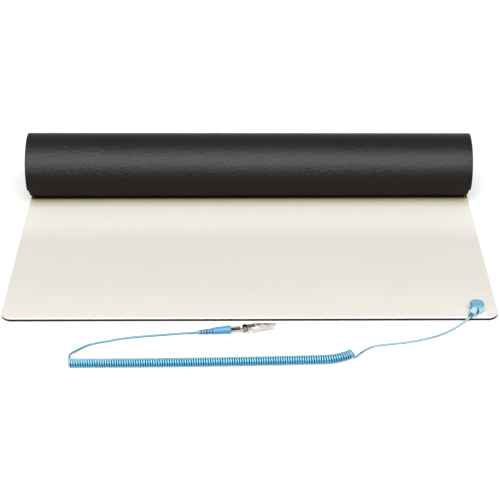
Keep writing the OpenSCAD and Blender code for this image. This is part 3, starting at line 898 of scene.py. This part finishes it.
@dataclass(frozen=True)
class BareWire(Finish):
    """Twisted bare strands at the cord's stripped ends."""

    colour: Colour
    dull: Colour

    def build(self) -> bpy.types.Material:
        """Makes the strands.

        Returns:
            The strands' material.
        """
        g = Graph(bpy.data.materials.new(self.name))
        at = g.place()
        node = g.add("ShaderNodeTexWave", {"wave_type": "BANDS", "bands_direction": "DIAGONAL"},
                     {"Vector": at, "Scale": 900.0, "Distortion": 0.6})
        lay = Value(g, node.outputs["Fac"])
        return g.surface(
            {
                "Base Color": g.mix(lay, self.dull, self.colour),
                "Metallic": 1.0,
                "Roughness": 0.3 + 0.25 * lay,
                "Normal": g.bump(lay, 0.00004),
            }
        )


class Surfaces(Enum):
    """Every finish that the part uses."""

    # The black rubber's warm tone low on the roll is painted shade.
    BLACK_RUBBER = RolledRubber(
        "black_rubber", colour=(0.0008, 0.0007, 0.0006), pale=(0.0105, 0.010, 0.0095),
        grain=0.0011, depth=0.0004, roughness=0.41, specular=0.13, matt=0.45, grit=3.0,
        dust_and_shade=(0.0045, 0.0018, 0.0))
    # The cream's pale lip is a painted highlight, its pale ends are painted light, its warm band is
    # painted shade and its dark line under the roll is a painted contact shadow.
    CREAM_RUBBER = EdgedRubber(
        "cream_rubber", colour=(0.80, 0.765, 0.68), pale=(0.845, 0.81, 0.735), grain=0.0008,
        depth=0.00002, roughness=0.5, specular=0.3, matt=0.0, grit=0.3, lip_highlight=(0.98, 0.975, 0.965),
        painted_light=(0.97, 0.945, 0.885), warm_shade=(0.83, 0.75, 0.50), contact_shadow=(0.08, 0.055, 0.025))
    # The cap's dark notch and darker rim are painted shade.
    CAP_PLASTIC = CapPlastic(
        "cap_plastic", colour=(0.20, 0.47, 0.67), deep=(0.16, 0.41, 0.63), roughness=0.38,
        notch_shade=(0.012, 0.07, 0.12), rim=(0.14, 0.39, 0.53))
    # The cup's wall tone is a painted sheen; the barrel's dark side and the groove are painted
    # shade.
    CUP_PLASTIC = CupPlastic(
        "cup_plastic", colour=(0.52, 0.80, 0.90), deep=(0.42, 0.73, 0.86), roughness=0.34,
        wall_sheen=(0.46, 0.70, 0.79), flank_shade=(0.10, 0.35, 0.49), groove_shade=(0.006, 0.07, 0.12))
    PLUG_PLASTIC = MouldedPlastic(
        "plug_plastic", colour=(0.080, 0.32, 0.57), deep=(0.070, 0.295, 0.535), roughness=0.56)
    # The relief's slot tone is painted shade.
    RELIEF_PLASTIC = RibbedPlastic(
        "relief_plastic", colour=(0.15, 0.45, 0.70), deep=(0.12, 0.40, 0.64), roughness=0.38,
        slot=(0.003, 0.08, 0.18))
    COLLAR_PLASTIC = MouldedPlastic(
        "collar_plastic", colour=(0.03, 0.22, 0.32), deep=(0.02, 0.17, 0.27), roughness=0.4)
    # The cord's crest tone is painted light, its gap tone is painted shade and its pale tone near
    # the head is a painted highlight.
    CORD_SHEATH = CordSheath(
        "cord_sheath", lit_crest=(0.24, 0.67, 0.88), low=(0.06, 0.42, 0.71), gap=(0.003, 0.10, 0.20),
        tail=(0.075, 0.32, 0.42), faded=(0.26, 0.44, 0.51), painted_light=(0.42, 0.62, 0.66))
    BRIGHT_NICKEL = PlatedMetal(
        "bright_nickel", colour=(0.62, 0.59, 0.55), dull=(0.48, 0.45, 0.42), roughness=0.2)
    # The pin's dark line under the clip's seam is painted shade.
    PIN_NICKEL = PinMetal(
        "pin_nickel", colour=(0.62, 0.59, 0.55), dull=(0.48, 0.45, 0.42), roughness=0.2,
        painted_shade=(0.004, 0.0035, 0.003))
    # The jaws' dark tone is painted shade, and their brown lever tone is painted shade and dark
    # reflection.
    JAW_NICKEL = ClipMetal(
        "jaw_nickel", colour=(0.55, 0.52, 0.478), dull=(0.45, 0.42, 0.385), roughness=0.4,
        painted_shade=(0.004, 0.0035, 0.003), lever_shade=(0.085, 0.062, 0.054), seam=(1.5, 1.9))
    # Blackened spring steel; on the plug sleeve inside the clip's tube this dark tone is also
    # painted shade.
    SPRING_STEEL = PlatedMetal(
        "dark_spring_steel", colour=(0.03, 0.028, 0.026), dull=(0.02, 0.018, 0.018), roughness=0.34)
    TERMINAL_BRASS = PlatedMetal(
        "terminal_brass", colour=(0.72, 0.56, 0.28), dull=(0.50, 0.36, 0.17), roughness=0.28)
    TINNED_WIRE = PlatedMetal(
        "tinned_wire", colour=(0.60, 0.60, 0.58), dull=(0.45, 0.45, 0.44), roughness=0.32)
    COPPER_STRANDS = BareWire("copper_strands", colour=(0.72, 0.38, 0.22), dull=(0.38, 0.17, 0.09))
    RESISTOR_LACQUER = MouldedPlastic(
        "resistor_lacquer", colour=(0.62, 0.50, 0.34), deep=(0.55, 0.43, 0.28), roughness=0.3)


# ------------------------------------------------------------------ mesh helpers


def soften(mesh: bpy.types.Mesh, smooth_angle: float = 40.0) -> None:
    """Shades a mesh smooth and keeps its corners sharp.

    Args:
        mesh: The mesh.
        smooth_angle: Corners sharper than this stay sharp, in degrees.
    """
    bm = bmesh.new()
    bm.from_mesh(mesh)
    bmesh.ops.recalc_face_normals(bm, faces=bm.faces)
    limit = math.radians(smooth_angle)
    for face in bm.faces:
        face.smooth = True
    for edge in bm.edges:
        edge.smooth = not edge.is_manifold or edge.calc_face_angle(0.0) < limit
    bm.to_mesh(mesh)
    bm.free()


def put(name: str, data: bpy.types.ID) -> Piece:
    """Puts a new object in the scene.

    Args:
        name: Its name.
        data: Its mesh, curve, lamp or camera.

    Returns:
        The object.
    """
    made = bpy.data.objects.new(name, data)
    bpy.context.scene.collection.objects.link(made)
    return made


def piece_from(
    name: str, vertices: Iterable[Sequence[float]], faces: Iterable[Sequence[int]]
) -> Piece:
    """Makes one mesh object with smooth shading and sharp corners.

    Args:
        name: The piece's name.
        vertices: Its points, in metres.
        faces: Its faces, as vertex numbers.

    Returns:
        The new object, in the scene.
    """
    mesh = bpy.data.meshes.new(name)
    mesh.from_pydata([tuple(v) for v in vertices], [], [tuple(f) for f in faces])
    soften(mesh)
    return put(name, mesh)


# ------------------------------------------------------------------ the mat


@dataclass(frozen=True)
class Layer:
    """One layer of the mat's laminate, by depth below the roll's outer face, in metres.

    Its edges are rounded at the low and the high face, and its front may stand proud.
    """

    name: str
    node: str
    slot: str
    finish: Surfaces
    low: float
    high: float
    low_round: float
    high_round: float
    proud: float = 0.0


@dataclass
class BenchMat:
    """The laminate sheet, flat in front and rolled up behind, in metres and degrees."""

    width: float = 0.6
    flat: float = 0.316
    corner: float = 0.014
    roll: float = 0.044
    thickness: float = 0.0025
    gap: float = 0.0003
    half_turns: int = 7
    last_arc: float = 63.0
    arc_step: float = 4.0
    stud: tuple[float, float] = (0.2743, -0.1642)
    eyelet_hole: float = 0.00248
    recess: tuple[float, float] = (0.0066, 0.0005)
    lip_wide: float = 0.0024
    lip_drop: float = 0.00034
    spread: float = 0.0009
    tuck: float = 0.0024
    tuck_angle: float = 296.0
    taper: float = 0.045
    fuller: float = 1.003
    edge_round: float = 0.0003
    columns: int = 28
    punch_sides: int = 64

    @property
    def step(self) -> float:
        """How far the roll draws in with each half turn."""
        return (self.thickness + self.gap) / 2

    @property
    def front(self) -> float:
        """Y of the front edge."""
        return -(self.flat + self.roll) / 2

    @property
    def axis(self) -> float:
        """Y of the roll's axis."""
        return self.front + self.flat

    def stations(self) -> list[tuple[float, float, float, float, float]]:
        """Lays out the sheet's sections.

        Returns:
            For each section: distance from the front edge, then Y, Z of the outer
            face and the Y, Z of its inward normal.
        """
        rounding = [0.0, 0.00002, 0.00008, 0.00018, self.edge_round]
        corners = [self.corner * (1 - math.cos(math.radians(a))) for a in range(12, 91, 6)]
        bands = 60
        plain = [self.corner + (self.flat - self.corner) * i / bands for i in range(1, bands + 1)]
        made = [(u, self.front + u, 0.0, 0.0, 1.0) for u in rounding + corners + plain]
        run = self.flat
        for k in range(self.half_turns + 1):
            radius = self.roll - k * self.step
            centre = self.roll + (k % 2) * self.step
            sweep = 180.0 if k < self.half_turns else self.last_arc
            count = round(sweep / self.arc_step)
            for i in range(1, count + 1):
                a = math.radians(-90 + 180 * k + sweep * i / count)
                made.append((
                    run + radius * math.radians(sweep * i / count),
                    self.axis + radius * math.cos(a), centre + radius * math.sin(a),
                    -math.cos(a), -math.sin(a),
                ))
            run += radius * math.radians(sweep)
        return made

    def half_width(self, run: float) -> float:
        """Gives half the sheet's width, by its front corners, wider first turn and inner turns.

        Args:
            run: The distance from the front edge.

        Returns:
            Half the width there.
        """
        if run < self.corner:
            back = self.corner - run
            return self.width / 2 - self.corner + math.sqrt(self.corner ** 2 - back ** 2)
        over = (self.tuck_angle - 180) * (self.roll - self.step)
        inner = self.flat + math.radians(180 * self.roll + over)
        out = self.eased((run - self.flat - 0.01) / 0.03)
        return self.width / 2 + self.spread * out - self.tuck * self.eased((run - inner) / 0.004)

    @staticmethod
    def eased(share: float) -> float:
        """A smooth step of a share, from 0 to 1."""
        share = min(1.0, max(0.0, share))
        return share * share * (3 - 2 * share)

    def creep(self, run: float) -> float:
        """How far the sheet has crept along the roll at a distance from its front."""
        turn = max(0.0, run - self.flat) / (2 * math.pi * self.roll)
        return -0.0005 * math.sin(1.7 * turn) + 0.0002 * math.sin(5.1 * turn)

    def worn(self, run: float) -> float:
        """How far the upper face has rounded off at a distance from the front edge."""
        back = min(1.0, max(0.0, 1 - run / self.lip_wide))
        return self.lip_drop * self.thickness / 0.0005 * (1 - math.sqrt(1 - back * back))

    def section(self, layer: Layer, half: float, inset: float) -> list[tuple[float, float]]:
        """Outline of the layer across the sheet.

        Args:
            layer: The layer.
            half: Half the width.
            inset: How far the outline draws in at the very front edge.

        Returns:
            Points of X and depth, in order round the layer.
        """
        half, low, high = half - inset, layer.low + inset, layer.high - inset
        columns = [-1 + 2 * i / self.columns for i in range(self.columns + 1)]
        outline = []
        for radius, depth, side in ((layer.low_round, low, 1), (layer.high_round, high, -1)):
            outline += [(side * c * (half - radius), depth) for c in columns]
            corner = depth + side * radius
            start = -90 if side > 0 else 90
            for a in (30, 60, 90):
                angle = math.radians(start + a)
                outline.append((
                    side * (half - radius + radius * math.cos(angle)),
                    corner + radius * math.sin(angle),
                ))
        return outline

    def build_layer(self, layer: Layer) -> Piece:
        """Builds one layer as a single sheet.

        Args:
            layer: The layer to build.

        Returns:
            The sheet, riding with the mat.
        """
        vertices, faces, ring = [], [], 0
        edge = min(self.edge_round, 0.45 * (layer.high - layer.low))
        stations = self.stations()
        for run, y, z, ny, nz in stations:
            gone = max(0.0, edge - run)
            inset = edge - math.sqrt(edge ** 2 - gone ** 2)
            outline = self.section(layer, self.half_width(run), min(inset, edge * 0.95))
            ring = len(outline)
            shift, worn = self.creep(run), self.worn(run)
            ahead = layer.proud * max(0.0, 1 - run / self.corner)
            for x, depth in outline:
                d = depth - worn * max(0.0, depth - layer.low) / self.thickness
                height = (z + d * nz) * (self.fuller - self.taper * x)
                vertices.append((x + shift, y + d * ny - ahead, height))
        for i in range(len(stations) - 1):
            a, b = i * ring, (i + 1) * ring
            faces += [(a + j, a + (j + 1) % ring, b + (j + 1) % ring, b + j) for j in range(ring)]
        faces.append(range(ring))
        faces.append(range((len(stations) - 1) * ring, len(stations) * ring))
        sheet = piece_from(layer.name, vertices, faces)
        self.punch(sheet)
        layer.finish.value.dress(sheet)
        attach(sheet, "mat")
        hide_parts(layer.node)
        return sheet

    def punch(self, sheet: Piece) -> None:
        """Cuts the stud's hole and the eyelet's recess out of a sheet.

        Args:
            sheet: The sheet, which gets the cuts in its own mesh.
        """
        steps = [(self.recess[0], -0.001), (self.recess[0], self.recess[1]),
                 (self.eyelet_hole, self.recess[1]), (self.eyelet_hole, 0.004)]
        count = self.punch_sides
        turns = [2 * math.pi * i / count for i in range(count)]
        rim = [(math.cos(turn), math.sin(turn)) for turn in turns]
        points = [(self.stud[0] + r * c, self.stud[1] + r * n, z) for r, z in steps for c, n in rim]
        faces = [
            (low + i, low + (i + 1) % count, low + count + (i + 1) % count, low + count + i)
            for low in range(0, count * (len(steps) - 1), count) for i in range(count)
        ]
        faces += [range(count), range(count * (len(steps) - 1), count * len(steps))]
        tool = piece_from("punch", points, faces)
        cut = sheet.modifiers.new("punch", "BOOLEAN")
        cut.operation, cut.solver, cut.object = "DIFFERENCE", "MANIFOLD", tool
        bpy.context.view_layer.update()
        evaluated = sheet.evaluated_get(bpy.context.evaluated_depsgraph_get())
        spare = [sheet.data, tool.data]
        sheet.data = bpy.data.meshes.new_from_object(evaluated)
        soften(sheet.data)
        sheet.modifiers.clear()
        bpy.data.objects.remove(tool)
        for mesh in spare:
            bpy.data.meshes.remove(mesh)

    def build(self) -> list[Piece]:
        """Builds both layers.

        Returns:
            The black base sheet and the cream top sheet.
        """
        base = self.build_layer(Layer(
            "black_base_sheet", "mat_base_layer", "mat_black", Surfaces.BLACK_RUBBER,
            low=0.0, high=0.002, low_round=0.0004, high_round=0.0, proud=0.0014))
        top = self.build_layer(Layer(
            "cream_top_sheet", "mat_top_layer", "mat_cream", Surfaces.CREAM_RUBBER,
            low=0.002, high=0.0025, low_round=0.0, high_round=0.0002))
        return [base, top]


# ------------------------------------------------------------------ the cord


@dataclass
class EarthLead:
    """The cord in one length: a tail from the head, the coil and a tail to the plug.

    Lengths are millimetres and angles degrees.
    """

    diameter: float = 2.4
    coil_d: float = 10.6
    curls: int = 118
    long_run: float = 292.0
    bent_run: float = 34.0
    turn_long: float = 2.3
    turn_bent: float = 35.0
    start: tuple[float, float] = (-206.0, -274.4)
    phase: float = 90.0
    steps: int = 24
    spacing: float = 1.6
    opened: float = 4.3
    open_curls: float = 1.4
    collar_end: float = 21.0

    def heading(self, s: float) -> float:
        """Gives the direction of the coil's axis.

        Args:
            s: The distance along the coil, in millimetres.

        Returns:
            The turn from X, in degrees.
        """
        if s < self.long_run:
            return self.turn_long * s / self.long_run
        return self.turn_long + self.turn_bent * (s - self.long_run) / self.bent_run

    @staticmethod
    def arc(s: float, degrees: float) -> tuple[float, float]:
        """Gives a point of an arc that starts along X.

        Args:
            s: The distance along the arc.
            degrees: How far it has turned there.

        Returns:
            X and Y of the point.
        """
        if abs(degrees) < 1e-9:
            return s, 0.0
        r = s / math.radians(degrees)
        return r * math.sin(math.radians(degrees)), r * (1 - math.cos(math.radians(degrees)))

    def centre(self, s: float) -> Vector:
        """Gives the middle of the coil.

        Args:
            s: The distance along the coil, in millimetres.

        Returns:
            The point on the coil's axis, in millimetres.
        """
        x0, y0 = self.start
        if s < self.long_run:
            dx, dy = self.arc(s, self.heading(s)) if s > 0 else (s, 0.0)
            return Vector((x0 + dx, y0 + dy, self.coil_d / 2))
        dx, dy = self.arc(self.long_run, self.turn_long)
        ex, ey = self.arc(s - self.long_run, self.heading(s) - self.turn_long)
        c, n = math.cos(math.radians(self.turn_long)), math.sin(math.radians(self.turn_long))
        return Vector((x0 + dx + c * ex - n * ey, y0 + dy + n * ex + c * ey, self.coil_d / 2))

    def curl(self, s: float) -> Vector:
        """Gives a point of the coiled cord; its last curls are opened.

        Args:
            s: The distance along the coil, in millimetres.

        Returns:
            The point on the cord's line, in millimetres.
        """
        h = math.radians(self.heading(s))
        tight = self.long_run + self.bent_run - self.opened
        wound = min(s, tight) / tight * (self.curls + 0.25 - self.open_curls)
        wound += max(0.0, s - tight) / self.opened * self.open_curls
        a = math.radians(self.phase + 360 * wound)
        r = (self.coil_d - self.diameter) / 2
        out = Vector((-math.sin(h) * math.cos(a), math.cos(h) * math.cos(a), math.sin(a)))
        return self.centre(s) + r * out

    def curl_heading(self, s: float) -> Vector:
        """Direction in which the coiled cord runs."""
        return (self.curl(s + 0.02) - self.curl(s - 0.02)).normalized()

    @staticmethod
    def through(points: list[Vector], step: float) -> list[Vector]:
        """Draws one smooth line through points.

        Args:
            points: The points, in millimetres.
            step: The spacing of the result.

        Returns:
            Points of the smooth line, without the last one.
        """
        padded = [2 * points[0] - points[1], *points, 2 * points[-1] - points[-2]]
        made = []
        for p0, p1, p2, p3 in zip(padded, padded[1:], padded[2:], padded[3:]):
            t1 = (p1 - p0).length ** 0.5
            t2 = t1 + (p2 - p1).length ** 0.5
            t3 = t2 + (p3 - p2).length ** 0.5
            count = max(1, round((p2 - p1).length / step))
            for i in range(count):
                t = t1 + (t2 - t1) * i / count
                a1 = (t1 - t) / t1 * p0 + t / t1 * p1
                a2 = (t2 - t) / (t2 - t1) * p1 + (t - t1) / (t2 - t1) * p2
                a3 = (t3 - t) / (t3 - t2) * p2 + (t - t2) / (t3 - t2) * p3
                b1 = (t2 - t) / t2 * a1 + t / t2 * a2
                b2 = (t3 - t) / (t3 - t1) * a2 + (t - t1) / (t3 - t1) * a3
                made.append((t2 - t) / (t2 - t1) * b1 + (t - t1) / (t2 - t1) * b2)
        return made

    def head_tail(self) -> list[Vector]:
        """Lays the tail on the head's side.

        Returns:
            Its points, collar first, in millimetres.
        """
        laid = [
            (262.4, -184.3, 4.9), (258.9, -187.2, 4.0), (255, -190.3, 2.9),
            (250.6, -194.1, 1.9), (245.6, -198.6, 1.3), (240, -203.4, 1.25),
            (233.5, -208.4, 1.25), (226.5, -213, 1.25), (219, -217.2, 1.25),
            (211, -220.8, 1.25), (203, -223.8, 1.25), (195, -226.3, 1.25),
            (187, -228.4, 1.25), (179, -230.2, 1.25), (171, -231.7, 1.25),
            (163, -233.1, 1.25), (155, -234.5, 1.25), (147, -236.6, 1.25),
            (140, -240.3, 1.25), (134, -245.5, 1.25), (128.5, -251.3, 1.25),
            (124.3, -256.6, 1.25), (121.4, -259.6, 1.7),
        ]
        ends = [BARREL.point(d) for d in (self.collar_end - 3, self.collar_end)]
        return ends + [Vector(p) for p in laid]

    def plug_tail(self) -> list[Vector]:
        """Lays the tail on the plug's side.

        Returns:
            Its points, plug last, in millimetres.
        """
        laid = [
            (-206.6, -266.5, 9.0), (-206.3, -260.5, 7.4), (-204.6, -254.5, 5.5),
            (-201.8, -248.7, 3.7), (-197.5, -242, 2.3), (-192.5, -236.3, 1.5),
            (-187, -232.2, 1.25), (-180.5, -229.4, 1.25), (-173, -227, 1.25),
            (-165, -224.6, 1.25), (-157, -222, 1.25), (-149, -219.6, 1.25),
            (-141, -217.9, 1.25), (-133, -216.5, 1.25), (-122, -215, 1.25),
            (-111, -213.4, 1.25), (-100, -211.9, 1.25), (-88, -210.3, 1.25),
            (-77, -209.1, 1.3), (-70, -209.2, 1.9), (-64.8, -209.6, 2.7),
        ]
        return [Vector(p) for p in laid] + [PLUG.point(0), PLUG.point(3)]

    def route(self) -> list[Vector]:
        """Joins the tails and the coil to the whole cord's line.

        Returns:
            Its points from the head to the plug, in metres.
        """
        end = self.long_run + self.bent_run
        count = round((self.curls + 0.25) * self.steps)
        wound = [self.curl(end * (1 - i / count)) for i in range(count + 1)]
        first = self.curl(end) + self.diameter * self.curl_heading(end)
        last = self.curl(0) - self.diameter * self.curl_heading(0)
        before = self.through([*self.head_tail(), first, wound[0]], self.spacing)
        after = self.through([wound[-1], last, *self.plug_tail()], self.spacing)
        return [MM * p for p in [*before, *wound[:-1], *after, self.plug_tail()[-1]]]

    def build(self) -> Piece:
        """Returns:
            The cord, riding with the lead.
        """
        route = self.route()
        data = bpy.data.curves.new("earth_cord", "CURVE")
        data.dimensions = "3D"
        data.bevel_depth = MM * self.diameter / 2
        data.bevel_resolution = 3
        data.use_fill_caps = True
        data.twist_mode = "MINIMUM"
        spline = data.splines.new("POLY")
        spline.points.add(len(route) - 1)
        for point, place in zip(spline.points, route):
            point.co = (*place, 1.0)
        spline.use_smooth = True
        cord = put("earth_cord", data)
        Surfaces.CORD_SHEATH.value.dress(cord)
        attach(cord, "lead")
        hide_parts("cord_tail_head", "cord_coil", "cord_tail_plug")
        length = sum((b - a).length for a, b in zip(route, route[1:]))
        log.info("cord of %.3f m in %d points", length, len(route))
        return cord


# ------------------------------------------------------------------ pieces that keep their shape


@dataclass
class Fittings:
    """The hard pieces, which keep the frame's shapes and get their finishes."""

    finishes: tuple[tuple[Surfaces, tuple[str, ...]], ...] = (
        (Surfaces.BRIGHT_NICKEL,
         ("mat_stud", "stud_eyelet", "snap_socket", "socket_rivet", "clip_pin")),
        (Surfaces.PIN_NICKEL, ("plug_pin",)),
        (Surfaces.JAW_NICKEL, ("clip_lower_jaw", "clip_upper_jaw")),
        (Surfaces.SPRING_STEEL, ("snap_ring", "plug_sleeve", "clip_spring")),
        (Surfaces.CAP_PLASTIC, ("head_cap",)),
        (Surfaces.CUP_PLASTIC, ("head_shell",)),
        (Surfaces.PLUG_PLASTIC, ("plug_handle",)),
        (Surfaces.RELIEF_PLASTIC, ("plug_strain_relief",)),
        (Surfaces.COLLAR_PLASTIC, ("head_strain_relief",)),
        (Surfaces.TERMINAL_BRASS, ("head_terminal",)),
        (Surfaces.TINNED_WIRE, ("resistor_leads",)),
        (Surfaces.COPPER_STRANDS, ("head_conductor", "plug_conductor")),
        (Surfaces.RESISTOR_LACQUER, ("series_resistor",)),
    )

    def build(self) -> list[tuple[str, str]]:
        """Gives every hard node its finish.

        Returns:
            Each node's name with its finish's name.
        """
        for finish, names in self.finishes:
            finish.value.dress(*(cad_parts[name] for name in names))
        return [(name, finish.value.name) for finish, names in self.finishes for name in names]


# ------------------------------------------------------------------ studio


@dataclass(frozen=True)
class Card:
    """A card bent round the X axis, which only shows in the sheen.

    Its rises are the angles above the front at which it starts and ends, in degrees.
    """

    name: str
    rises: tuple[float, float]
    far: float
    half: float
    tone: Colour
    strength: float

    def build(self) -> Piece:
        """Hangs the card.

        Returns:
            The card.
        """
        count = 12
        points = []
        for i in range(count + 1):
            a = math.radians(self.rises[0] + (self.rises[1] - self.rises[0]) * i / count)
            y, z = -self.far * math.cos(a), self.far * math.sin(a)
            points += [(side * self.half, y, z) for side in (-1, 1)]
        faces = [(2 * i, 2 * i + 1, 2 * i + 3, 2 * i + 2) for i in range(count)]
        card = piece_from(self.name, points, faces)
        g = Graph(bpy.data.materials.new(self.name))
        glow = g.add("ShaderNodeEmission", {}, {"Color": self.tone, "Strength": self.strength})
        card.data.materials.append(g.close(glow))
        card.visible_camera = card.visible_diffuse = card.visible_shadow = False
        card.visible_transmission = card.visible_volume_scatter = False
        return card


@dataclass
class Studio:
    """White floor, one broad soft box, white surroundings and cards for the sheen."""

    ambient: float = 0.27
    floor_half: float = 4.0
    floor_tone: float = 0.92
    floor_lift: float = 0.28
    far_lift: float = 2.6
    lift_from: tuple[float, float] = (0.7, 2.4)
    key_power: float = 257.0
    key_rise: float = 57.0
    key_far: float = 5.0
    key_size: tuple[float, float] = (5.1, 3.5)
    cards: tuple[Card, ...] = (
        Card("front_card", (-2.0, 14.0), 2.6, 2.2, (1.0, 0.9, 0.8), 0.12),
        Card("sheen_card", (20.0, 66.0), 2.6, 2.4, (0.96, 0.98, 1.02), 12.9),
        Card("back_card", (132.0, 176.0), 2.8, 2.2, (1.0, 0.96, 0.92), 0.66),
    )

    def floor(self) -> Piece:
        """Builds the pale floor, which shows white and keeps the shadow.

        Returns:
            The floor.
        """
        corners = [(x * self.floor_half, y * self.floor_half, -0.0002)
                   for x, y in ((-1, -1), (1, -1), (1, 1), (-1, 1))]
        floor = piece_from("floor", corners, [range(4)])
        g = Graph(bpy.data.materials.new("studio_floor"))
        x, y, _ = g.axes(g.place())
        glow = g.mix(g.radius(x, y).band(*self.lift_from), (1.0, 1.0, 1.0), (self.far_lift,) * 3)
        base = g.add("ShaderNodeBsdfDiffuse", {}, {"Color": (self.floor_tone,) * 3})
        lifted = g.seen() * self.floor_lift
        lift = g.add("ShaderNodeEmission", {}, {"Color": glow, "Strength": lifted})
        both = g.add("ShaderNodeAddShader", {}, {0: base.outputs[0], 1: lift.outputs[0]})
        floor.data.materials.append(g.close(both))
        return floor

    def surroundings(self) -> None:
        """Sets the world: plain light on the object, white where it is seen."""
        g = Graph(bpy.data.worlds.new("studio"))
        plain = g.add("ShaderNodeBackground", {}, {"Color": (1, 1, 1), "Strength": self.ambient})
        white = g.add("ShaderNodeBackground", {}, {"Color": (1, 1, 1), "Strength": 1.0})
        sides = {0: g.seen(), 1: plain.outputs[0], 2: white.outputs[0]}
        both = g.add("ShaderNodeMixShader", {}, sides)
        bpy.context.scene.world = g.close(both)

    def key(self) -> Piece:
        """Hangs the soft box above the front, aimed at the middle of the frame.

        Returns:
            The lamp.
        """
        data = bpy.data.lights.new("key_box", "AREA")
        data.shape, data.energy = "RECTANGLE", self.key_power
        data.size, data.size_y = self.key_size
        lamp = put("key_box", data)
        rise = math.radians(self.key_rise)
        lamp.location = (0.0, -self.key_far * math.cos(rise), self.key_far * math.sin(rise))
        lamp.rotation_euler = (-lamp.location).to_track_quat("-Z", "Y").to_euler()
        return lamp

    def build(self) -> list[Piece]:
        """Builds the whole studio.

        Returns:
            The floor, the lamp and the cards.
        """
        self.surroundings()
        return [self.floor(), self.key(), *(card.build() for card in self.cards)]


@dataclass
class Shot:
    """The camera, a little above the bench in front of the mat."""

    eye: tuple[float, float, float] = (0.0008, -1.6394, 0.9754)
    pitch: float = 31.0
    roll: float = -0.15
    lens: float = 105.145

    def build(self) -> Piece:
        """Places the camera and makes it the scene's.

        Returns:
            The camera.
        """
        data = bpy.data.cameras.new("shot")
        data.lens, data.sensor_width, data.sensor_fit = self.lens, 36.0, "HORIZONTAL"
        data.clip_start, data.clip_end = 0.05, 30.0
        camera = put("shot", data)
        camera.matrix_world = (
            Matrix.Translation(Vector(self.eye))
            @ Matrix.Rotation(math.radians(90 - self.pitch), 4, "X")
            @ Matrix.Rotation(math.radians(self.roll), 4, "Z")
        )
        bpy.context.scene.camera = camera
        return camera


def main() -> None:
    """Builds the camera, the object and the studio."""
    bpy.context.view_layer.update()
    bpy.context.scene.view_settings.view_transform = "Standard"
    log.info("placed %s", Shot().build().name)
    log.info("built %s", EarthLead().build().name)
    for sheet in BenchMat().build():
        log.info("built %s with %d faces", sheet.name, len(sheet.data.polygons))
    for node, finish in Fittings().build():
        log.info("dressed %s in %s", node, finish)
    for prop in Studio().build():
        log.info("set up %s", prop.name)
    bpy.context.view_layer.update()


if __name__ == "__main__":
    logging.basicConfig(level=logging.INFO, format="%(message)s")
    main()
